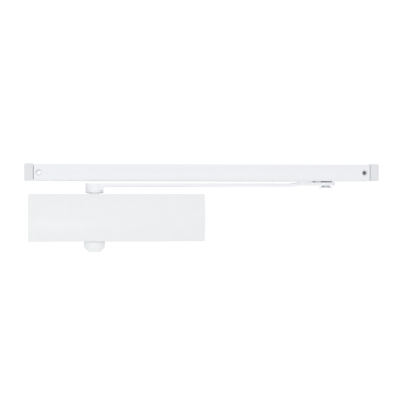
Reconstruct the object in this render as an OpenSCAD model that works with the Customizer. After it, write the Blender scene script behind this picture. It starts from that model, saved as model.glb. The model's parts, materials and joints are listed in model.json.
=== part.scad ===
// Surface-mounted door closer with a single arm and a slide rail, in millimetres.
// X runs along the body and Z is up. Both mounting faces lie on the plane Y = 0,
// and everything stands in front of it, at negative Y. The spindle axis is at X = 0
// and Z = 0 is the middle of the body. It is drawn with the door shut.

/* [Cover] */
// Length of the cover
cover_len = 226; // [190:1:300]
// Wall of the cover
cover_wall = 2; // [1.5:0.1:3]
// How far the middle of the front stands in front of its long edges
cover_crown = 10; // [6:0.5:12]
// Gap between the door and the rim of the cover
cover_rim_gap = 1; // [0.5:0.1:2]
// Room between the body and the end, top and bottom walls of the cover
cover_room = 1; // [0.6:0.1:2]

/* [Body] */
// Bore that the piston runs in
bore_d = 34; // [30:0.5:42]
// Wall of the barrel around the bore
barrel_wall = 4; // [3:0.5:6]
// Length of each mounting ear
ear_len = 14; // [12:0.5:20]
// Thickness of each mounting ear
ear_t = 8; // [5:0.5:10]
// Height between the two rows of mounting holes
body_hole_rise = 38; // [30:1:40]
// Diameter of the four mounting holes
body_hole_d = 5.5; // [4.5:0.1:6.5]
// Length of the screwed plug at each end of the bore
plug_len = 15; // [12:0.5:20]

/* [Gear] */
// Module of the rack and pinion
gear_module = 1.5; // [1.2:0.05:1.8]
// Teeth on the pinion
pinion_teeth = 11; // [10:1:14]
// How far the arm can swing, in degrees
arm_swing = 170; // [120:5:180]
// Length of the plain head of the piston
piston_head_len = 15; // [13:0.5:24]
// Length of the plain tail of the piston
piston_tail_len = 14.8; // [12:0.1:20]
// Diameter of the spindle where it runs in its bearings
journal_d = 14.7; // [13:0.1:16]
// Length of each spindle bearing
bearing_len = 6; // [4:0.5:10]
// Length of the screwed part of each gland nut
gland_len = 3.9; // [3.4:0.1:6]
// Width across the flats of the square ends of the spindle
drive_af = 10; // [8:0.1:10.2]

/* [Spring] */
// Thickness of the spring's wire
spring_wire = 4.2; // [3:0.1:5]
// Distance from one coil of the spring to the next
spring_pitch = 7.9; // [6:0.1:10]
// How far the adjusting screw moves the spring seat
adjust_travel = 5; // [3:0.5:8]

/* [Arm] */
// Distance from the spindle to the sliding joint
arm_len = 304.5; // [240:0.5:360]
// Thickness of the arm
arm_t = 4.5; // [4:0.1:6]
// Width of the arm between its two round ends
arm_w = 20; // [16:0.5:23]
// Diameter of the arm's hub
hub_d = 23; // [20:0.5:28]
// Height of the arm's hub
hub_h = 12.6; // [11:0.1:16]
// Radius of the arm's far end
arm_end_r = 12.3; // [10:0.1:14]
// How far the arm steps up before its far end
arm_step = 1.9; // [0:0.1:4]

/* [Sliding joint] */
// Diameter of the pin of the sliding joint
pin_d = 10; // [8:0.5:11]
// Diameter of the pin's head
pin_head_d = 17.7; // [15:0.1:20]
// Diameter of the bright washer between arm and rail
washer_d = 16.9; // [14:0.1:20]
// Length of the slide shoe on the spindle side of its pin
shoe_back = 24; // [18:0.5:36]
// Length of the slide shoe on the other side of its pin
shoe_front = 20; // [14:0.5:30]

/* [Rail] */
// Length of the rail over both end caps
rail_len = 462; // [400:1:600]
// Height of the rail
rail_h = 21.8; // [20:0.2:30]
// Depth of the rail from the door frame to its front
rail_depth = 30; // [28:0.5:36]
// Wall of the rail
rail_wall = 2.2; // [1.6:0.1:2.8]
// Length of each end cap, with the groove beside it
cap_len = 12; // [9:0.5:16]
// Diameter of the two screw holes in the rail
rail_hole_d = 5.4; // [4.2:0.1:6]
// Distance from the end of the profile to its screw hole
rail_hole_in = 6.5; // [6:0.1:9]

/* [Hidden] */
$fn = 96;
over = 1; // how far a cut reaches past the face it opens

// Clearances
run_fit = 0.05; // radial, between a shaft and the hole it turns or slides in
thread_fit = 0.02; // radial, between a screwed piece and its hole
seal_fit = 0.03; // around a seal in its groove
slide_gap = 0.4; // beside the shoe in the rail's slot
turn_gap = 0.3; // between faces that turn over each other
edge_cut = 0.6; // small chamfer on turned edges

// Rack and pinion
pressure_angle = 25;
backlash = 0.15;
addendum = 0.8 * gear_module;
dedendum = 1.05 * gear_module;
pitch_r = gear_module * pinion_teeth / 2;
base_r = pitch_r * cos(pressure_angle);
tip_r = pitch_r + addendum;
root_r = pitch_r - dedendum;
rack_pitch = PI * gear_module;
pinion_face = 25;
rack_face = pinion_face - 2;
flank_steps = 6;
piston_travel = pitch_r * arm_swing * PI / 180;
window_room = 0.75;

// Bore and barrel
bore_r = bore_d / 2;
barrel_r = bore_r + barrel_wall;
barrel_back_gap = 1.5;
axis_depth = barrel_r + barrel_back_gap;
block_half = bore_r + 2;
axis_y = -axis_depth;

// Spindle bearings, glands and boss, outwards from the bore
journal_r = journal_d / 2;
pinion_way_r = tip_r + 0.45;
bearing_r = pinion_way_r + 1.1;
bearing_z = bore_r + 0.3;
gland_z = bearing_z + bearing_len + 0.3;
gland_r = bearing_r + 1;
boss_half = gland_z + gland_len;
boss_r = gland_r + 4;
gland_collar_r = journal_r + 1.85;
gland_collar_len = 2;
gland_bore_r = journal_r + 0.25;
gland_seal_r = journal_r + 2.85;
gland_seal_h = 2;

// Cover
cover_half = boss_half + cover_room + cover_wall;
cover_front_gap = 2;
crown_r = (cover_half * cover_half + cover_crown * cover_crown) / (2 * cover_crown);

// The boss is trimmed to a cylinder just inside the crown, with a wall left at the gland's front
crown_gap = 0.5;
gland_front_wall = 1.2;
crown_room_r = crown_r - cover_wall - crown_gap;
crown_reach = sqrt(crown_room_r * crown_room_r - boss_half * boss_half);
cover_depth = max(
    axis_depth + barrel_r + cover_front_gap + cover_wall,
    axis_depth + gland_r + gland_front_wall + crown_r - crown_reach
);

// Places along the body
window_x0 = -(piston_travel + tip_r + window_room);
window_x1 = tip_r + window_room;
piston_x0 = window_x0 - piston_head_len;
piston_x1 = window_x1 + piston_tail_len;
piston_gap = 2;
barrel_x0 = piston_x0 - piston_gap - plug_len;
body_x0 = barrel_x0 - ear_len;
cover_x0 = body_x0 - 2 * cover_room - cover_wall;
cover_x1 = cover_x0 + cover_len;
body_x1 = cover_x1 - cover_wall - 2 * cover_room;
barrel_x1 = body_x1 - ear_len;
barrel_len = barrel_x1 - barrel_x0;
ear_half = boss_half - 1.5;
hole_x0 = body_x0 + ear_len / 2;
hole_x1 = body_x1 - ear_len / 2;

// Spring, its seat and the adjusting screw
adjuster_d = 8;
adjuster_flange_t = 2.5;
adjuster_x1 = barrel_x1;
flange_x0 = barrel_x1 - plug_len - adjuster_flange_t;
seat_t = 4;
seat_boss_len = 4;
seat_x0 = flange_x0 - turn_gap - seat_t;
adjuster_x0 = seat_x0 - seat_boss_len - adjust_travel;
pilot_len = 4;
spring_r = bore_r - 1.5 - spring_wire / 2;
pilot_r = spring_r - spring_wire / 2 - 1;
spring_sides = 8;
spring_steps = 20; // rings of points in one turn of the spring

// Check valve in the head of the piston
ball_r = 2.5;
ball_lift = 0.8;
ball_way_r = 1.5;
ball_pocket_r = 3;
ball_seat_x = piston_x0 + 5.5;
ball_x = ball_seat_x - ball_way_r + ball_r * sqrt(2) + seal_fit;
cage_x = ball_x + ball_r + ball_lift + 0.1;
cage_t = 2;

// Speed valves, beside the bore at the back of the body
valve_r = 2.5;
valve_side_wall = 2;
valve_bore_wall = 1.7;
valve_z = block_half - valve_side_wall - valve_r;
valve_reach = bore_r + valve_bore_wall + valve_r;
valve_y = axis_y + sqrt(valve_reach * valve_reach - valve_z * valve_z);
valve_len = plug_len + 3;
valve_seal_z = 5;
valve_seal_w = 1.6;
valve_seal_r = 1.1;
port_r = 1;
port_x = plug_len + 1.2;

// Caps and clips of the body
cap_neck_wall = 1.7;
cap_neck_r = gland_collar_r + 2 * run_fit + cap_neck_wall;
notch_r = cap_neck_r + 0.5;
spindle_cap_r = 13.5;
spindle_cap_tip_r = 7.3;
spindle_cap_wall = 2;
spindle_cap_z = -(cover_half + 0.2);
spindle_cap_side = 7.9;
spindle_cap_slope = 5.8;
clip_t = 1.2;
clip_w = 12;
clip_leg = 22;
clip_screw_r = 1.5;

// Arm
hub_z0 = cover_half + 1.2;
hub_z1 = hub_z0 + hub_h;
drive_len = 8.2;
drive_fit = 0.1;
arm_end_z1 = hub_z1 + arm_step;
arm_end_z0 = arm_end_z1 - arm_t;
arm_step_x0 = arm_len - 52;
arm_step_len = 22;
arm_fillet = 5;
arm_screw_r = 3;
arm_screw_head_r = 6;
arm_screw_tap = 12;
tap_room = 3;

// Rail
washer_t = 1;
rail_z0 = arm_end_z1 + washer_t + turn_gap;
rail_z1 = rail_z0 + rail_h;
rail_mid_y = -rail_depth / 2;
rail_front_cut = 0.8;
reveal = 0.8;
shoe_neck_w = 10.6;
slot_w = shoe_neck_w + 2 * slide_gap;
sink_r = rail_hole_d / 2 + rail_wall;
tongue_len = 13;
tongue_fit = 0.15;
cap_proud_top = 0.65;
cap_proud_front = 0.5;
cap_short_bottom = 0.4;
cap_corner = 1.2;
rail_past_pin = 67.8; // from the pin to the rail's far end when the door is shut

// The arm lies a little askew, because the rail's slot isn't as deep as the spindle
arm_angle = asin((rail_mid_y - axis_y) / arm_len);
pin_x = arm_len * cos(arm_angle);
rail_x1 = pin_x + rail_past_pin;
rail_x0 = rail_x1 - rail_len;
profile_x0 = rail_x0 + cap_len;
profile_x1 = rail_x1 - cap_len;

// Shoe and pin
shoe_fit = 0.5;
shoe_z0 = rail_z0 + rail_wall + shoe_fit / 2;
shoe_z1 = rail_z1 - rail_wall - shoe_fit;
shoe_w = rail_depth - 2 * rail_wall - 2 * shoe_fit;
shoe_lead = 3;
shoe_neck_back = 16.2;
shoe_neck_front = 8.2;
shoe_lip_len = 7.2; // of the lip that guides the shoe under the rail
shoe_lip_w = rail_depth - 5;
pin_head_t = 1.2;
pin_head_gap = 1.8;
pin_head_z = arm_end_z0 - pin_head_gap - pin_head_t;
circlip_z = shoe_z0 + 10.4;
circlip_t = 1.2;
circlip_r = 7.5;
circlip_groove_r = pin_d / 2 - 0.8;
pin_z1 = circlip_z + circlip_t + 1.4;
bow_t = 0.5;
bow_r = 6.2;

// Shared shapes

// A point at radius r and angle a
function polar(r, a) = [r * cos(a), r * sin(a)];

// The involute of an angle, both in degrees
function involute(a) = tan(a) * 180 / PI - a;

// Half the angle that a pinion tooth covers at radius r
function tooth_half(r) =
    90 / pinion_teeth - backlash / 4 / pitch_r * 180 / PI
    + involute(pressure_angle) - involute(acos(min(1, base_r / r)));

// Outline of one pinion tooth that points along angle a
function tooth_points(a) =
    let (foot_r = max(base_r, root_r))
    let (rise = [for (s = [0 : flank_steps]) foot_r + (tip_r - foot_r) * s / flank_steps])
    concat(
        [polar(root_r, a - tooth_half(foot_r))],
        [for (s = [0 : flank_steps]) polar(rise[s], a - tooth_half(rise[s]))],
        [for (s = [flank_steps : -1 : 0]) polar(rise[s], a + tooth_half(rise[s]))],
        [polar(root_r, a + tooth_half(foot_r))]
    );

// Half the width of a rack tooth at height h above the pitch line
function rack_half(h) = rack_pitch / 4 - backlash / 4 - h * tan(pressure_angle);

// A turned disc or rod along Z with chamfered edges
module rod(h, r, cut = edge_cut) {
    rotate_extrude()
        polygon([[0, 0], [r - cut, 0], [r, cut], [r, h - cut], [r - cut, h], [0, h]]);
}

// A plain ring along Z
module ring(h, r_out, r_in) {
    difference() {
        cylinder(h = h, r = r_out);
        translate([0, 0, -over])
            cylinder(h = h + 2 * over, r = r_in);
    }
}

// A turned ring along Z with chamfered outer edges
module soft_ring(h, r_out, r_in, cut = edge_cut) {
    rotate_extrude()
        polygon([
            [r_in, 0], [r_out - cut, 0], [r_out, cut],
            [r_out, h - cut], [r_out - cut, h], [r_in, h]
        ]);
}

// A round seal of round section that fills a groove from r_in to r_out, centred on Z = 0
module seal_ring(r_out, r_in) {
    rotate_extrude()
        translate([(r_out + r_in) / 2, 0])
            circle(r = (r_out - r_in) / 2 - seal_fit, $fn = 32);
}

// Places children with their Z axis along +X, at x on the bore's axis
module on_bore(x) {
    translate([x, axis_y, 0])
        rotate([0, 90, 0])
            children();
}

// Places children on the spindle's axis at height z, upside down if flip is set
module on_spindle(z, flip = false) {
    translate([0, axis_y, flip ? -z : z])
        rotate([flip ? 180 : 0, 0, 0])
            children();
}

// Places children with +Z pointing into the body, at a valve's mouth
module at_valve(right, z) {
    translate([right ? barrel_x1 : barrel_x0, valve_y, z])
        rotate([0, right ? -90 : 90, 0])
            children();
}

// Places children on the axis of the sliding joint, turned with the arm
module on_pin(z) {
    translate([pin_x, rail_mid_y, z])
        rotate([0, 0, arm_angle])
            children();
}

// A hexagonal or square bar along Z, from its width across the flats
module flats(h, af, sides) {
    cylinder(h = h, d = af / cos(180 / sides), $fn = sides);
}

// Body casting

module housing_solid() {
    on_bore(barrel_x0)
        rod(barrel_len, barrel_r, 1);
    translate([barrel_x0, axis_y, -block_half])
        cube([barrel_len, axis_depth, 2 * block_half]);
    intersection() {
        translate([0, axis_y, -boss_half])
            rod(2 * boss_half, boss_r, 1);
        translate([-boss_r - over, crown_r - cover_depth, 0])
            rotate([0, 90, 0])
                cylinder(h = 2 * (boss_r + over), r = crown_room_r);
    }
    translate([-boss_r, axis_y, -ear_half])
        cube([2 * boss_r, axis_depth, 2 * ear_half]);
    for (x = [body_x0, barrel_x1 - over]) {
        translate([x, -ear_t, -ear_half])
            cube([ear_len + over, ear_t, 2 * ear_half]);
    }
}

module housing() {
    color("silver")
        difference() {
            housing_solid();
            on_bore(barrel_x0 - over)
                cylinder(h = barrel_len + 2 * over, r = bore_r);
            on_spindle(-boss_half)
                cylinder(h = 2 * boss_half, r = pinion_way_r);
            for (flip = [false, true]) {
                on_spindle(bearing_z, flip)
                    cylinder(h = boss_half, r = bearing_r);
                on_spindle(gland_z, flip)
                    cylinder(h = boss_half, r = gland_r);
            }
            for (x = [hole_x0, hole_x1], z = [-1, 1]) {
                translate([x, over, z * body_hole_rise / 2])
                    rotate([90, 0, 0])
                        cylinder(h = ear_t + 2 * over, d = body_hole_d);
            }
            for (x = [hole_x0, hole_x1]) {
                translate([x, -ear_t + 6, 0])
                    rotate([90, 0, 0])
                        cylinder(h = 6 + over, r = clip_screw_r);
            }
            for (place = [[false, 1], [false, -1], [true, 1]]) {
                at_valve(place[0], place[1] * valve_z) {
                    translate([0, 0, -over])
                        cylinder(h = valve_len + 2 + over, r = valve_r + run_fit);
                }
                translate([place[0] ? barrel_x1 - port_x : barrel_x0 + port_x, valve_y, 0])
                    rotate([place[1] > 0 ? 0 : 180, 0, 0])
                        cylinder(h = valve_z, r = port_r);
            }
        }
}

// The screwed plug that both ends of the bore share, with +Z pointing inwards
module plug_body() {
    difference() {
        rod(plug_len, bore_r - thread_fit);
        translate([0, 0, plug_len - 5])
            ring(2.4, bore_r + over, bore_r - 2);
    }
}

module left_end_plug() {
    color("gainsboro")
        on_bore(barrel_x0)
            difference() {
                plug_body();
                translate([0, 0, -over])
                    flats(8 + over, 10, 6);
            }
}

module right_end_plug() {
    color("gainsboro")
        on_bore(barrel_x1)
            mirror([0, 0, 1])
                difference() {
                    plug_body();
                    translate([0, 0, -over])
                        cylinder(h = plug_len + 2 * over, d = adjuster_d + 2 * run_fit);
                    for (side = [-1, 1]) {
                        translate([0, side * 10, -over])
                            cylinder(h = 5 + over, r = 1.6);
                    }
                }
}

module end_plug_seals() {
    color("dimgray") {
        for (x = [barrel_x0 + plug_len - 3.8, barrel_x1 - plug_len + 3.8]) {
            on_bore(x)
                seal_ring(bore_r, bore_r - 2);
        }
    }
}

// Spindle, its bearings and its glands

module bearing_ring() {
    soft_ring(bearing_len, bearing_r - thread_fit, journal_r + run_fit, 0.4);
}

module upper_bearing() {
    color("lightsteelblue")
        on_spindle(bearing_z)
            bearing_ring();
}

module lower_bearing() {
    color("lightsteelblue")
        on_spindle(bearing_z, true)
            bearing_ring();
}

module gland_nut_shape() {
    difference() {
        union() {
            cylinder(h = gland_len, r = gland_r - thread_fit);
            cylinder(h = gland_len + gland_collar_len, r = gland_collar_r);
        }
        translate([0, 0, -over])
            cylinder(h = gland_len + gland_collar_len + 2 * over, r = gland_bore_r);
        translate([0, 0, 0.7])
            cylinder(h = gland_seal_h, r = gland_seal_r);
    }
}

module upper_gland_nut() {
    color("darkgray")
        on_spindle(gland_z)
            gland_nut_shape();
}

module lower_gland_nut() {
    color("darkgray")
        on_spindle(gland_z, true)
            gland_nut_shape();
}

module spindle_seals() {
    color("dimgray") {
        for (flip = [false, true]) {
            on_spindle(gland_z + 0.7 + seal_fit, flip)
                soft_ring(gland_seal_h - 2 * seal_fit, gland_seal_r - seal_fit, journal_r + run_fit, 0.3);
        }
    }
}

module spindle() {
    color("lightgray")
        translate([0, axis_y, 0])
            difference() {
                union() {
                    translate([0, 0, -pinion_face / 2])
                        linear_extrude(pinion_face)
                            polygon([
                                for (i = [0 : pinion_teeth - 1])
                                    each tooth_points(i * 360 / pinion_teeth - 90)
                            ]);
                    for (flip = [0, 180]) {
                        rotate([flip, 0, 0])
                            translate([0, 0, pinion_face / 2])
                                cylinder(h = hub_z0 - pinion_face / 2, r = journal_r);
                        rotate([flip, 0, flip > 0 ? -arm_angle - 45 : arm_angle + 45])
                            translate([0, 0, hub_z0 - over])
                                flats(drive_len + over, drive_af, 4);
                    }
                }
                translate([0, 0, hub_z1 - arm_screw_tap - tap_room])
                    cylinder(h = drive_len + arm_screw_tap, r = arm_screw_r + thread_fit);
            }
}

module spindle_cap() {
    z0 = spindle_cap_z;
    z1 = z0 - spindle_cap_side;
    z2 = z1 - spindle_cap_slope;
    inner_r = spindle_cap_r - spindle_cap_wall;
    color("white")
        translate([0, axis_y, 0])
            rotate_extrude()
                polygon([
                    [cap_neck_r - cap_neck_wall, -boss_half],
                    [cap_neck_r, -boss_half],
                    [cap_neck_r, z0],
                    [spindle_cap_r, z0],
                    [spindle_cap_r, z1],
                    [spindle_cap_tip_r, z2],
                    [0, z2],
                    [0, z2 + spindle_cap_wall],
                    [spindle_cap_tip_r - 1, z2 + spindle_cap_wall],
                    [inner_r, z1 + 1],
                    [inner_r, z0 - spindle_cap_wall],
                    [cap_neck_r - cap_neck_wall, z0 - spindle_cap_wall]
                ]);
}

// Piston

// Outline of the rack in plan, with its back buried in the piston
module rack_outline() {
    pitch_y = axis_y - pitch_r;
    foot = rack_half(-dedendum);
    first = ceil((window_x0 + foot) / rack_pitch - 0.5);
    last = floor((window_x1 - foot) / rack_pitch - 0.5);
    polygon(concat(
        [[(first + 0.5) * rack_pitch - foot, pitch_y - dedendum - over]],
        [
            for (k = [first : last])
                let (x = (k + 0.5) * rack_pitch, tip = rack_half(addendum))
                each [
                    [x - foot, pitch_y - dedendum], [x - tip, pitch_y + addendum],
                    [x + tip, pitch_y + addendum], [x + foot, pitch_y - dedendum]
                ]
        ],
        [[(last + 0.5) * rack_pitch + foot, pitch_y - dedendum - over]]
    ));
}

module piston() {
    window_y0 = axis_y - pitch_r - dedendum;
    window_y1 = axis_y + tip_r + window_room;
    color("dimgray") {
        difference() {
            union() {
                on_bore(piston_x0)
                    rod(piston_x1 - piston_x0, bore_r - run_fit);
                on_bore(piston_x1 - over)
                    rod(pilot_len + over, pilot_r);
            }
            translate([window_x0, window_y0, -bore_r])
                cube([window_x1 - window_x0, window_y1 - window_y0, bore_d]);
            for (x = [piston_x0 + 2.4, piston_x1 - 4.6]) {
                on_bore(x)
                    ring(2.2, bore_r + over, bore_r - 1.6);
            }
            on_bore(piston_x0 - over)
                cylinder(h = ball_seat_x - piston_x0 + 2 * over, r = ball_way_r);
            on_bore(ball_seat_x)
                cylinder(h = ball_pocket_r - ball_way_r, r1 = ball_way_r, r2 = ball_pocket_r);
            on_bore(ball_seat_x + ball_pocket_r - ball_way_r)
                cylinder(h = piston_head_len, r = ball_pocket_r);
        }
        intersection() {
            translate([0, 0, -rack_face / 2])
                linear_extrude(rack_face)
                    rack_outline();
            on_bore(piston_x0)
                cylinder(h = piston_x1 - piston_x0, r = bore_r - run_fit);
        }
    }
}

module piston_rings() {
    color("black") {
        for (x = [piston_x0 + 2.4, piston_x1 - 4.6]) {
            on_bore(x + seal_fit)
                ring(2.2 - 2 * seal_fit, bore_r - seal_fit, bore_r - 1.6 + seal_fit);
        }
    }
}

module check_ball() {
    color("silver")
        translate([ball_x, axis_y, 0])
            sphere(r = ball_r);
}

module check_ball_cage() {
    color("goldenrod")
        on_bore(cage_x)
            ring(cage_t, ball_pocket_r - thread_fit, ball_way_r);
}

// Spring and its adjuster

// A coil spring along +Z that fills the length h, as one swept tube
module coil_spring(h, r, wire, pitch) {
    turns = (h - wire) / pitch;
    rings = round(turns * spring_steps);
    lean = atan(pitch / (2 * PI * r));
    points = [
        for (i = [0 : rings])
            let (turn = 360 * turns * i / rings)
            for (j = [0 : spring_sides - 1])
                let (a = 360 * (j + 0.5) / spring_sides)
                let (out = r + wire / 2 * cos(a), up = wire / 2 * sin(a))
                [
                    out * cos(turn) + up * sin(lean) * sin(turn),
                    out * sin(turn) - up * sin(lean) * cos(turn),
                    wire / 2 + (h - wire) * i / rings + up * cos(lean)
                ]
    ];
    walls = [
        for (i = [0 : rings - 1])
            for (j = [0 : spring_sides - 1])
                let (k = (j + 1) % spring_sides)
                let (a = i * spring_sides, b = a + spring_sides)
                each [[a + j, b + k, a + k], [a + j, b + j, b + k]]
    ];
    start = [[for (j = [0 : spring_sides - 1]) j]];
    end = [[for (j = [spring_sides - 1 : -1 : 0]) rings * spring_sides + j]];
    polyhedron(points = points, faces = concat(walls, start, end), convexity = 12);
}

module main_spring() {
    color("steelblue")
        on_bore(piston_x1)
            coil_spring(seat_x0 - piston_x1, spring_r, spring_wire, spring_pitch);
}

module spring_seat() {
    color("slategray")
        difference() {
            union() {
                on_bore(seat_x0)
                    rod(seat_t, bore_r - run_fit);
                on_bore(seat_x0 - seat_boss_len)
                    rod(seat_boss_len + over, pilot_r);
            }
            on_bore(seat_x0 - seat_boss_len - over)
                cylinder(h = seat_t + seat_boss_len + 2 * over, d = adjuster_d + 2 * run_fit);
        }
}

module spring_adjuster() {
    color("lightgray")
        difference() {
            union() {
                on_bore(adjuster_x0)
                    rod(adjuster_x1 - adjuster_x0, adjuster_d / 2, 0.5);
                on_bore(flange_x0)
                    cylinder(h = adjuster_flange_t - 0.1, r = adjuster_d / 2 + 2.5);
            }
            on_bore(barrel_x1 - 6)
                ring(1.8, adjuster_d, adjuster_d / 2 - 1.2);
            on_bore(adjuster_x1 - 3)
                flats(3 + over, 4, 6);
        }
}

module adjuster_seal() {
    color("dimgray")
        on_bore(barrel_x1 - 5.1)
            seal_ring(adjuster_d / 2 + run_fit, adjuster_d / 2 - 1.2);
}

// Speed valves

module valve_shape() {
    difference() {
        union() {
            rod(valve_len - 4, valve_r, 0.4);
            translate([0, 0, valve_len - 4 - over])
                cylinder(h = over, r = valve_r - 0.4);
            translate([0, 0, valve_len - 4])
                cylinder(h = 4, r1 = valve_r - 0.4, r2 = 0.7);
        }
        translate([0, 0, valve_seal_z])
            ring(valve_seal_w, valve_r + over, valve_seal_r);
        translate([-valve_r - over, -0.5, -over])
            cube([2 * valve_r + 2 * over, 1, 1.4 + over]);
    }
}

module valve_seal_shape() {
    translate([0, 0, valve_seal_z + valve_seal_w / 2])
        seal_ring(valve_r + run_fit, valve_seal_r);
}

module closing_speed_valve() {
    color("goldenrod")
        at_valve(false, valve_z)
            valve_shape();
}

module closing_valve_seal() {
    color("black")
        at_valve(false, valve_z)
            valve_seal_shape();
}

module latching_speed_valve() {
    color("goldenrod")
        at_valve(false, -valve_z)
            valve_shape();
}

module latching_valve_seal() {
    color("black")
        at_valve(false, -valve_z)
            valve_seal_shape();
}

module backcheck_valve() {
    color("goldenrod")
        at_valve(true, valve_z)
            valve_shape();
}

module backcheck_valve_seal() {
    color("black")
        at_valve(true, valve_z)
            valve_seal_shape();
}

// Cover and its clips

// The crowned block that the cover's outside and inside both follow, inset by a wall
module crowned_block(inset) {
    back = cover_rim_gap - (inset > 0 ? over : 0);
    half = cover_half - inset;
    front = cover_depth - inset;
    intersection() {
        translate([cover_x0 + inset, -front, -half])
            cube([cover_len - 2 * inset, front - back, 2 * half]);
        translate([cover_x0, crown_r - cover_depth, 0])
            rotate([0, 90, 0])
                cylinder(h = cover_len, r = crown_r - inset);
    }
}

module cover() {
    color("whitesmoke")
        difference() {
            crowned_block(0);
            crowned_block(cover_wall);
            translate([0, 0, -cover_half - over]) {
                translate([0, axis_y, 0])
                    cylinder(h = 2 * (cover_half + over), r = notch_r);
                translate([-notch_r, axis_y, 0])
                    cube([2 * notch_r, axis_depth, 2 * (cover_half + over)]);
            }
        }
}

module cover_clip(x) {
    leg_z = cover_half - cover_wall - turn_gap;
    difference() {
        translate([x - clip_w / 2, -ear_t - clip_t, -leg_z])
            cube([clip_w, clip_t, 2 * leg_z]);
        for (z = [-1, 1]) {
            translate([x, -ear_t + over, z * body_hole_rise / 2])
                rotate([90, 0, 0])
                    cylinder(h = clip_t + 2 * over, d = body_hole_d);
        }
        translate([x, -ear_t + over, 0])
            rotate([90, 0, 0])
                cylinder(h = clip_t + 2 * over, r = clip_screw_r + 0.1);
    }
    for (z = [-leg_z, leg_z - clip_t]) {
        translate([x - clip_w / 2, -ear_t - clip_leg, z])
            cube([clip_w, clip_leg, clip_t]);
    }
}

module cover_clips() {
    color("lightslategray") {
        for (x = [hole_x0, hole_x1]) {
            cover_clip(x);
        }
    }
}

module clip_screws() {
    color("silver") {
        for (x = [hole_x0, hole_x1]) {
            translate([x, -ear_t + 5, 0])
                rotate([90, 0, 0])
                    difference() {
                        union() {
                            cylinder(h = 5 + clip_t, r = clip_screw_r - thread_fit);
                            translate([0, 0, 5 + clip_t])
                                rod(1.8, 2.9, 0.5);
                        }
                        translate([-0.4, -3, 5 + clip_t + 0.9])
                            cube([0.8, 6, 1]);
                    }
        }
    }
}

// Arm

// Outline of the arm in plan, from the hub to the round far end
module arm_plan() {
    circle(d = hub_d);
    translate([0, -arm_w / 2])
        square([arm_len, arm_w]);
    translate([arm_len, 0])
        circle(r = arm_end_r);
}

// Side view of the arm: a level bar, a soft step up, and a fillet under it at the hub
module arm_side() {
    steps = 12;
    bottom = hub_z1 - arm_t;
    rise = [
        for (i = [0 : steps])
            [arm_step_x0 + arm_step_len * i / steps, arm_step * (1 - cos(180 * i / steps)) / 2]
    ];
    fillet_x = hub_d / 2 - 1 + arm_fillet;
    polygon(concat(
        [[0, hub_z1]],
        [for (p = rise) [p[0], hub_z1 + p[1]]],
        [[arm_len + hub_d, arm_end_z1], [arm_len + hub_d, arm_end_z0]],
        [for (i = [steps : -1 : 0]) [rise[i][0], bottom + rise[i][1]]],
        [
            for (a = [90 : 15 : 180])
                [fillet_x + arm_fillet * cos(a), bottom - arm_fillet + arm_fillet * sin(a)]
        ],
        [[0, bottom - arm_fillet]]
    ));
}

module arm() {
    sink = arm_screw_head_r - arm_screw_r;
    color("white")
        difference() {
            translate([0, axis_y, 0])
                rotate([0, 0, arm_angle])
                    difference() {
                        union() {
                            translate([0, 0, hub_z0])
                                rod(hub_h, hub_d / 2, 1);
                            intersection() {
                                translate([0, 0, hub_z0])
                                    linear_extrude(hub_h + arm_step + over)
                                        arm_plan();
                                translate([0, hub_d, 0])
                                    rotate([90, 0, 0])
                                        linear_extrude(2 * hub_d)
                                            arm_side();
                            }
                        }
                        translate([0, 0, hub_z0 - over])
                            rotate([0, 0, 45])
                                flats(drive_len + drive_fit + over, drive_af + 2 * drive_fit, 4);
                        cylinder(h = hub_z1, r = arm_screw_r + 0.2);
                        translate([0, 0, hub_z1 - sink])
                            cylinder(h = sink + 0.01, r1 = arm_screw_r, r2 = arm_screw_head_r + 0.01);
                    }
            on_pin(arm_end_z0 - over)
                cylinder(h = arm_t + 2 * over, d = pin_d + 2 * thread_fit);
        }
}

module arm_screw() {
    sink = arm_screw_head_r - arm_screw_r;
    color("silver")
        on_spindle(hub_z1 - arm_screw_tap)
            difference() {
                union() {
                    cylinder(h = arm_screw_tap - sink, r = arm_screw_r);
                    translate([0, 0, arm_screw_tap - sink])
                        cylinder(h = sink - 0.1, r1 = arm_screw_r, r2 = arm_screw_head_r - 0.1);
                }
                translate([0, 0, arm_screw_tap - 2.6])
                    flats(4, 4, 6);
            }
}

// Sliding joint

module slider_pin() {
    color("silver")
        on_pin(0)
            difference() {
                union() {
                    translate([0, 0, pin_head_z])
                        rod(pin_head_t, pin_head_d / 2, 0.3);
                    translate([0, 0, pin_head_z + pin_head_t - 0.2])
                        cylinder(h = pin_z1 - pin_head_z - pin_head_t + 0.2, d = pin_d);
                }
                translate([0, 0, circlip_z])
                    ring(circlip_t, pin_d, circlip_groove_r);
            }
}

module pin_circlip() {
    color("dimgray")
        on_pin(circlip_z + seal_fit)
            difference() {
                ring(circlip_t - 2 * seal_fit, circlip_r, circlip_groove_r + seal_fit);
                translate([-1.5, 0, -over])
                    cube([3, circlip_r + over, circlip_t + 2 * over]);
            }
}

module slider_washer() {
    color("gray")
        on_pin(arm_end_z1)
            soft_ring(washer_t, washer_d / 2, pin_d / 2 + run_fit, 0.2);
}

// A spring washer bent about the Y axis, high in the middle and low at both sides
module bowed_washer() {
    bow = pin_head_gap - bow_t;
    bend_r = (bow_r * bow_r + bow * bow) / (2 * bow);
    color("lightgray")
        on_pin(arm_end_z0 - bend_r)
            intersection() {
                rotate([90, 0, 0])
                    translate([0, 0, -bow_r - over])
                        ring(2 * (bow_r + over), bend_r - 0.02, bend_r - bow_t);
                ring(bend_r + over, bow_r, pin_d / 2 + run_fit);
            }
}

// Outline of the shoe in plan about its pin, with narrowed ends
module shoe_plan(back, front, w, lead) {
    polygon([
        [-back, -w / 2 + lead], [-back + lead, -w / 2],
        [front - lead, -w / 2], [front, -w / 2 + lead],
        [front, w / 2 - lead], [front - lead, w / 2],
        [-back + lead, w / 2], [-back, w / 2 - lead]
    ]);
}

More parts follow.
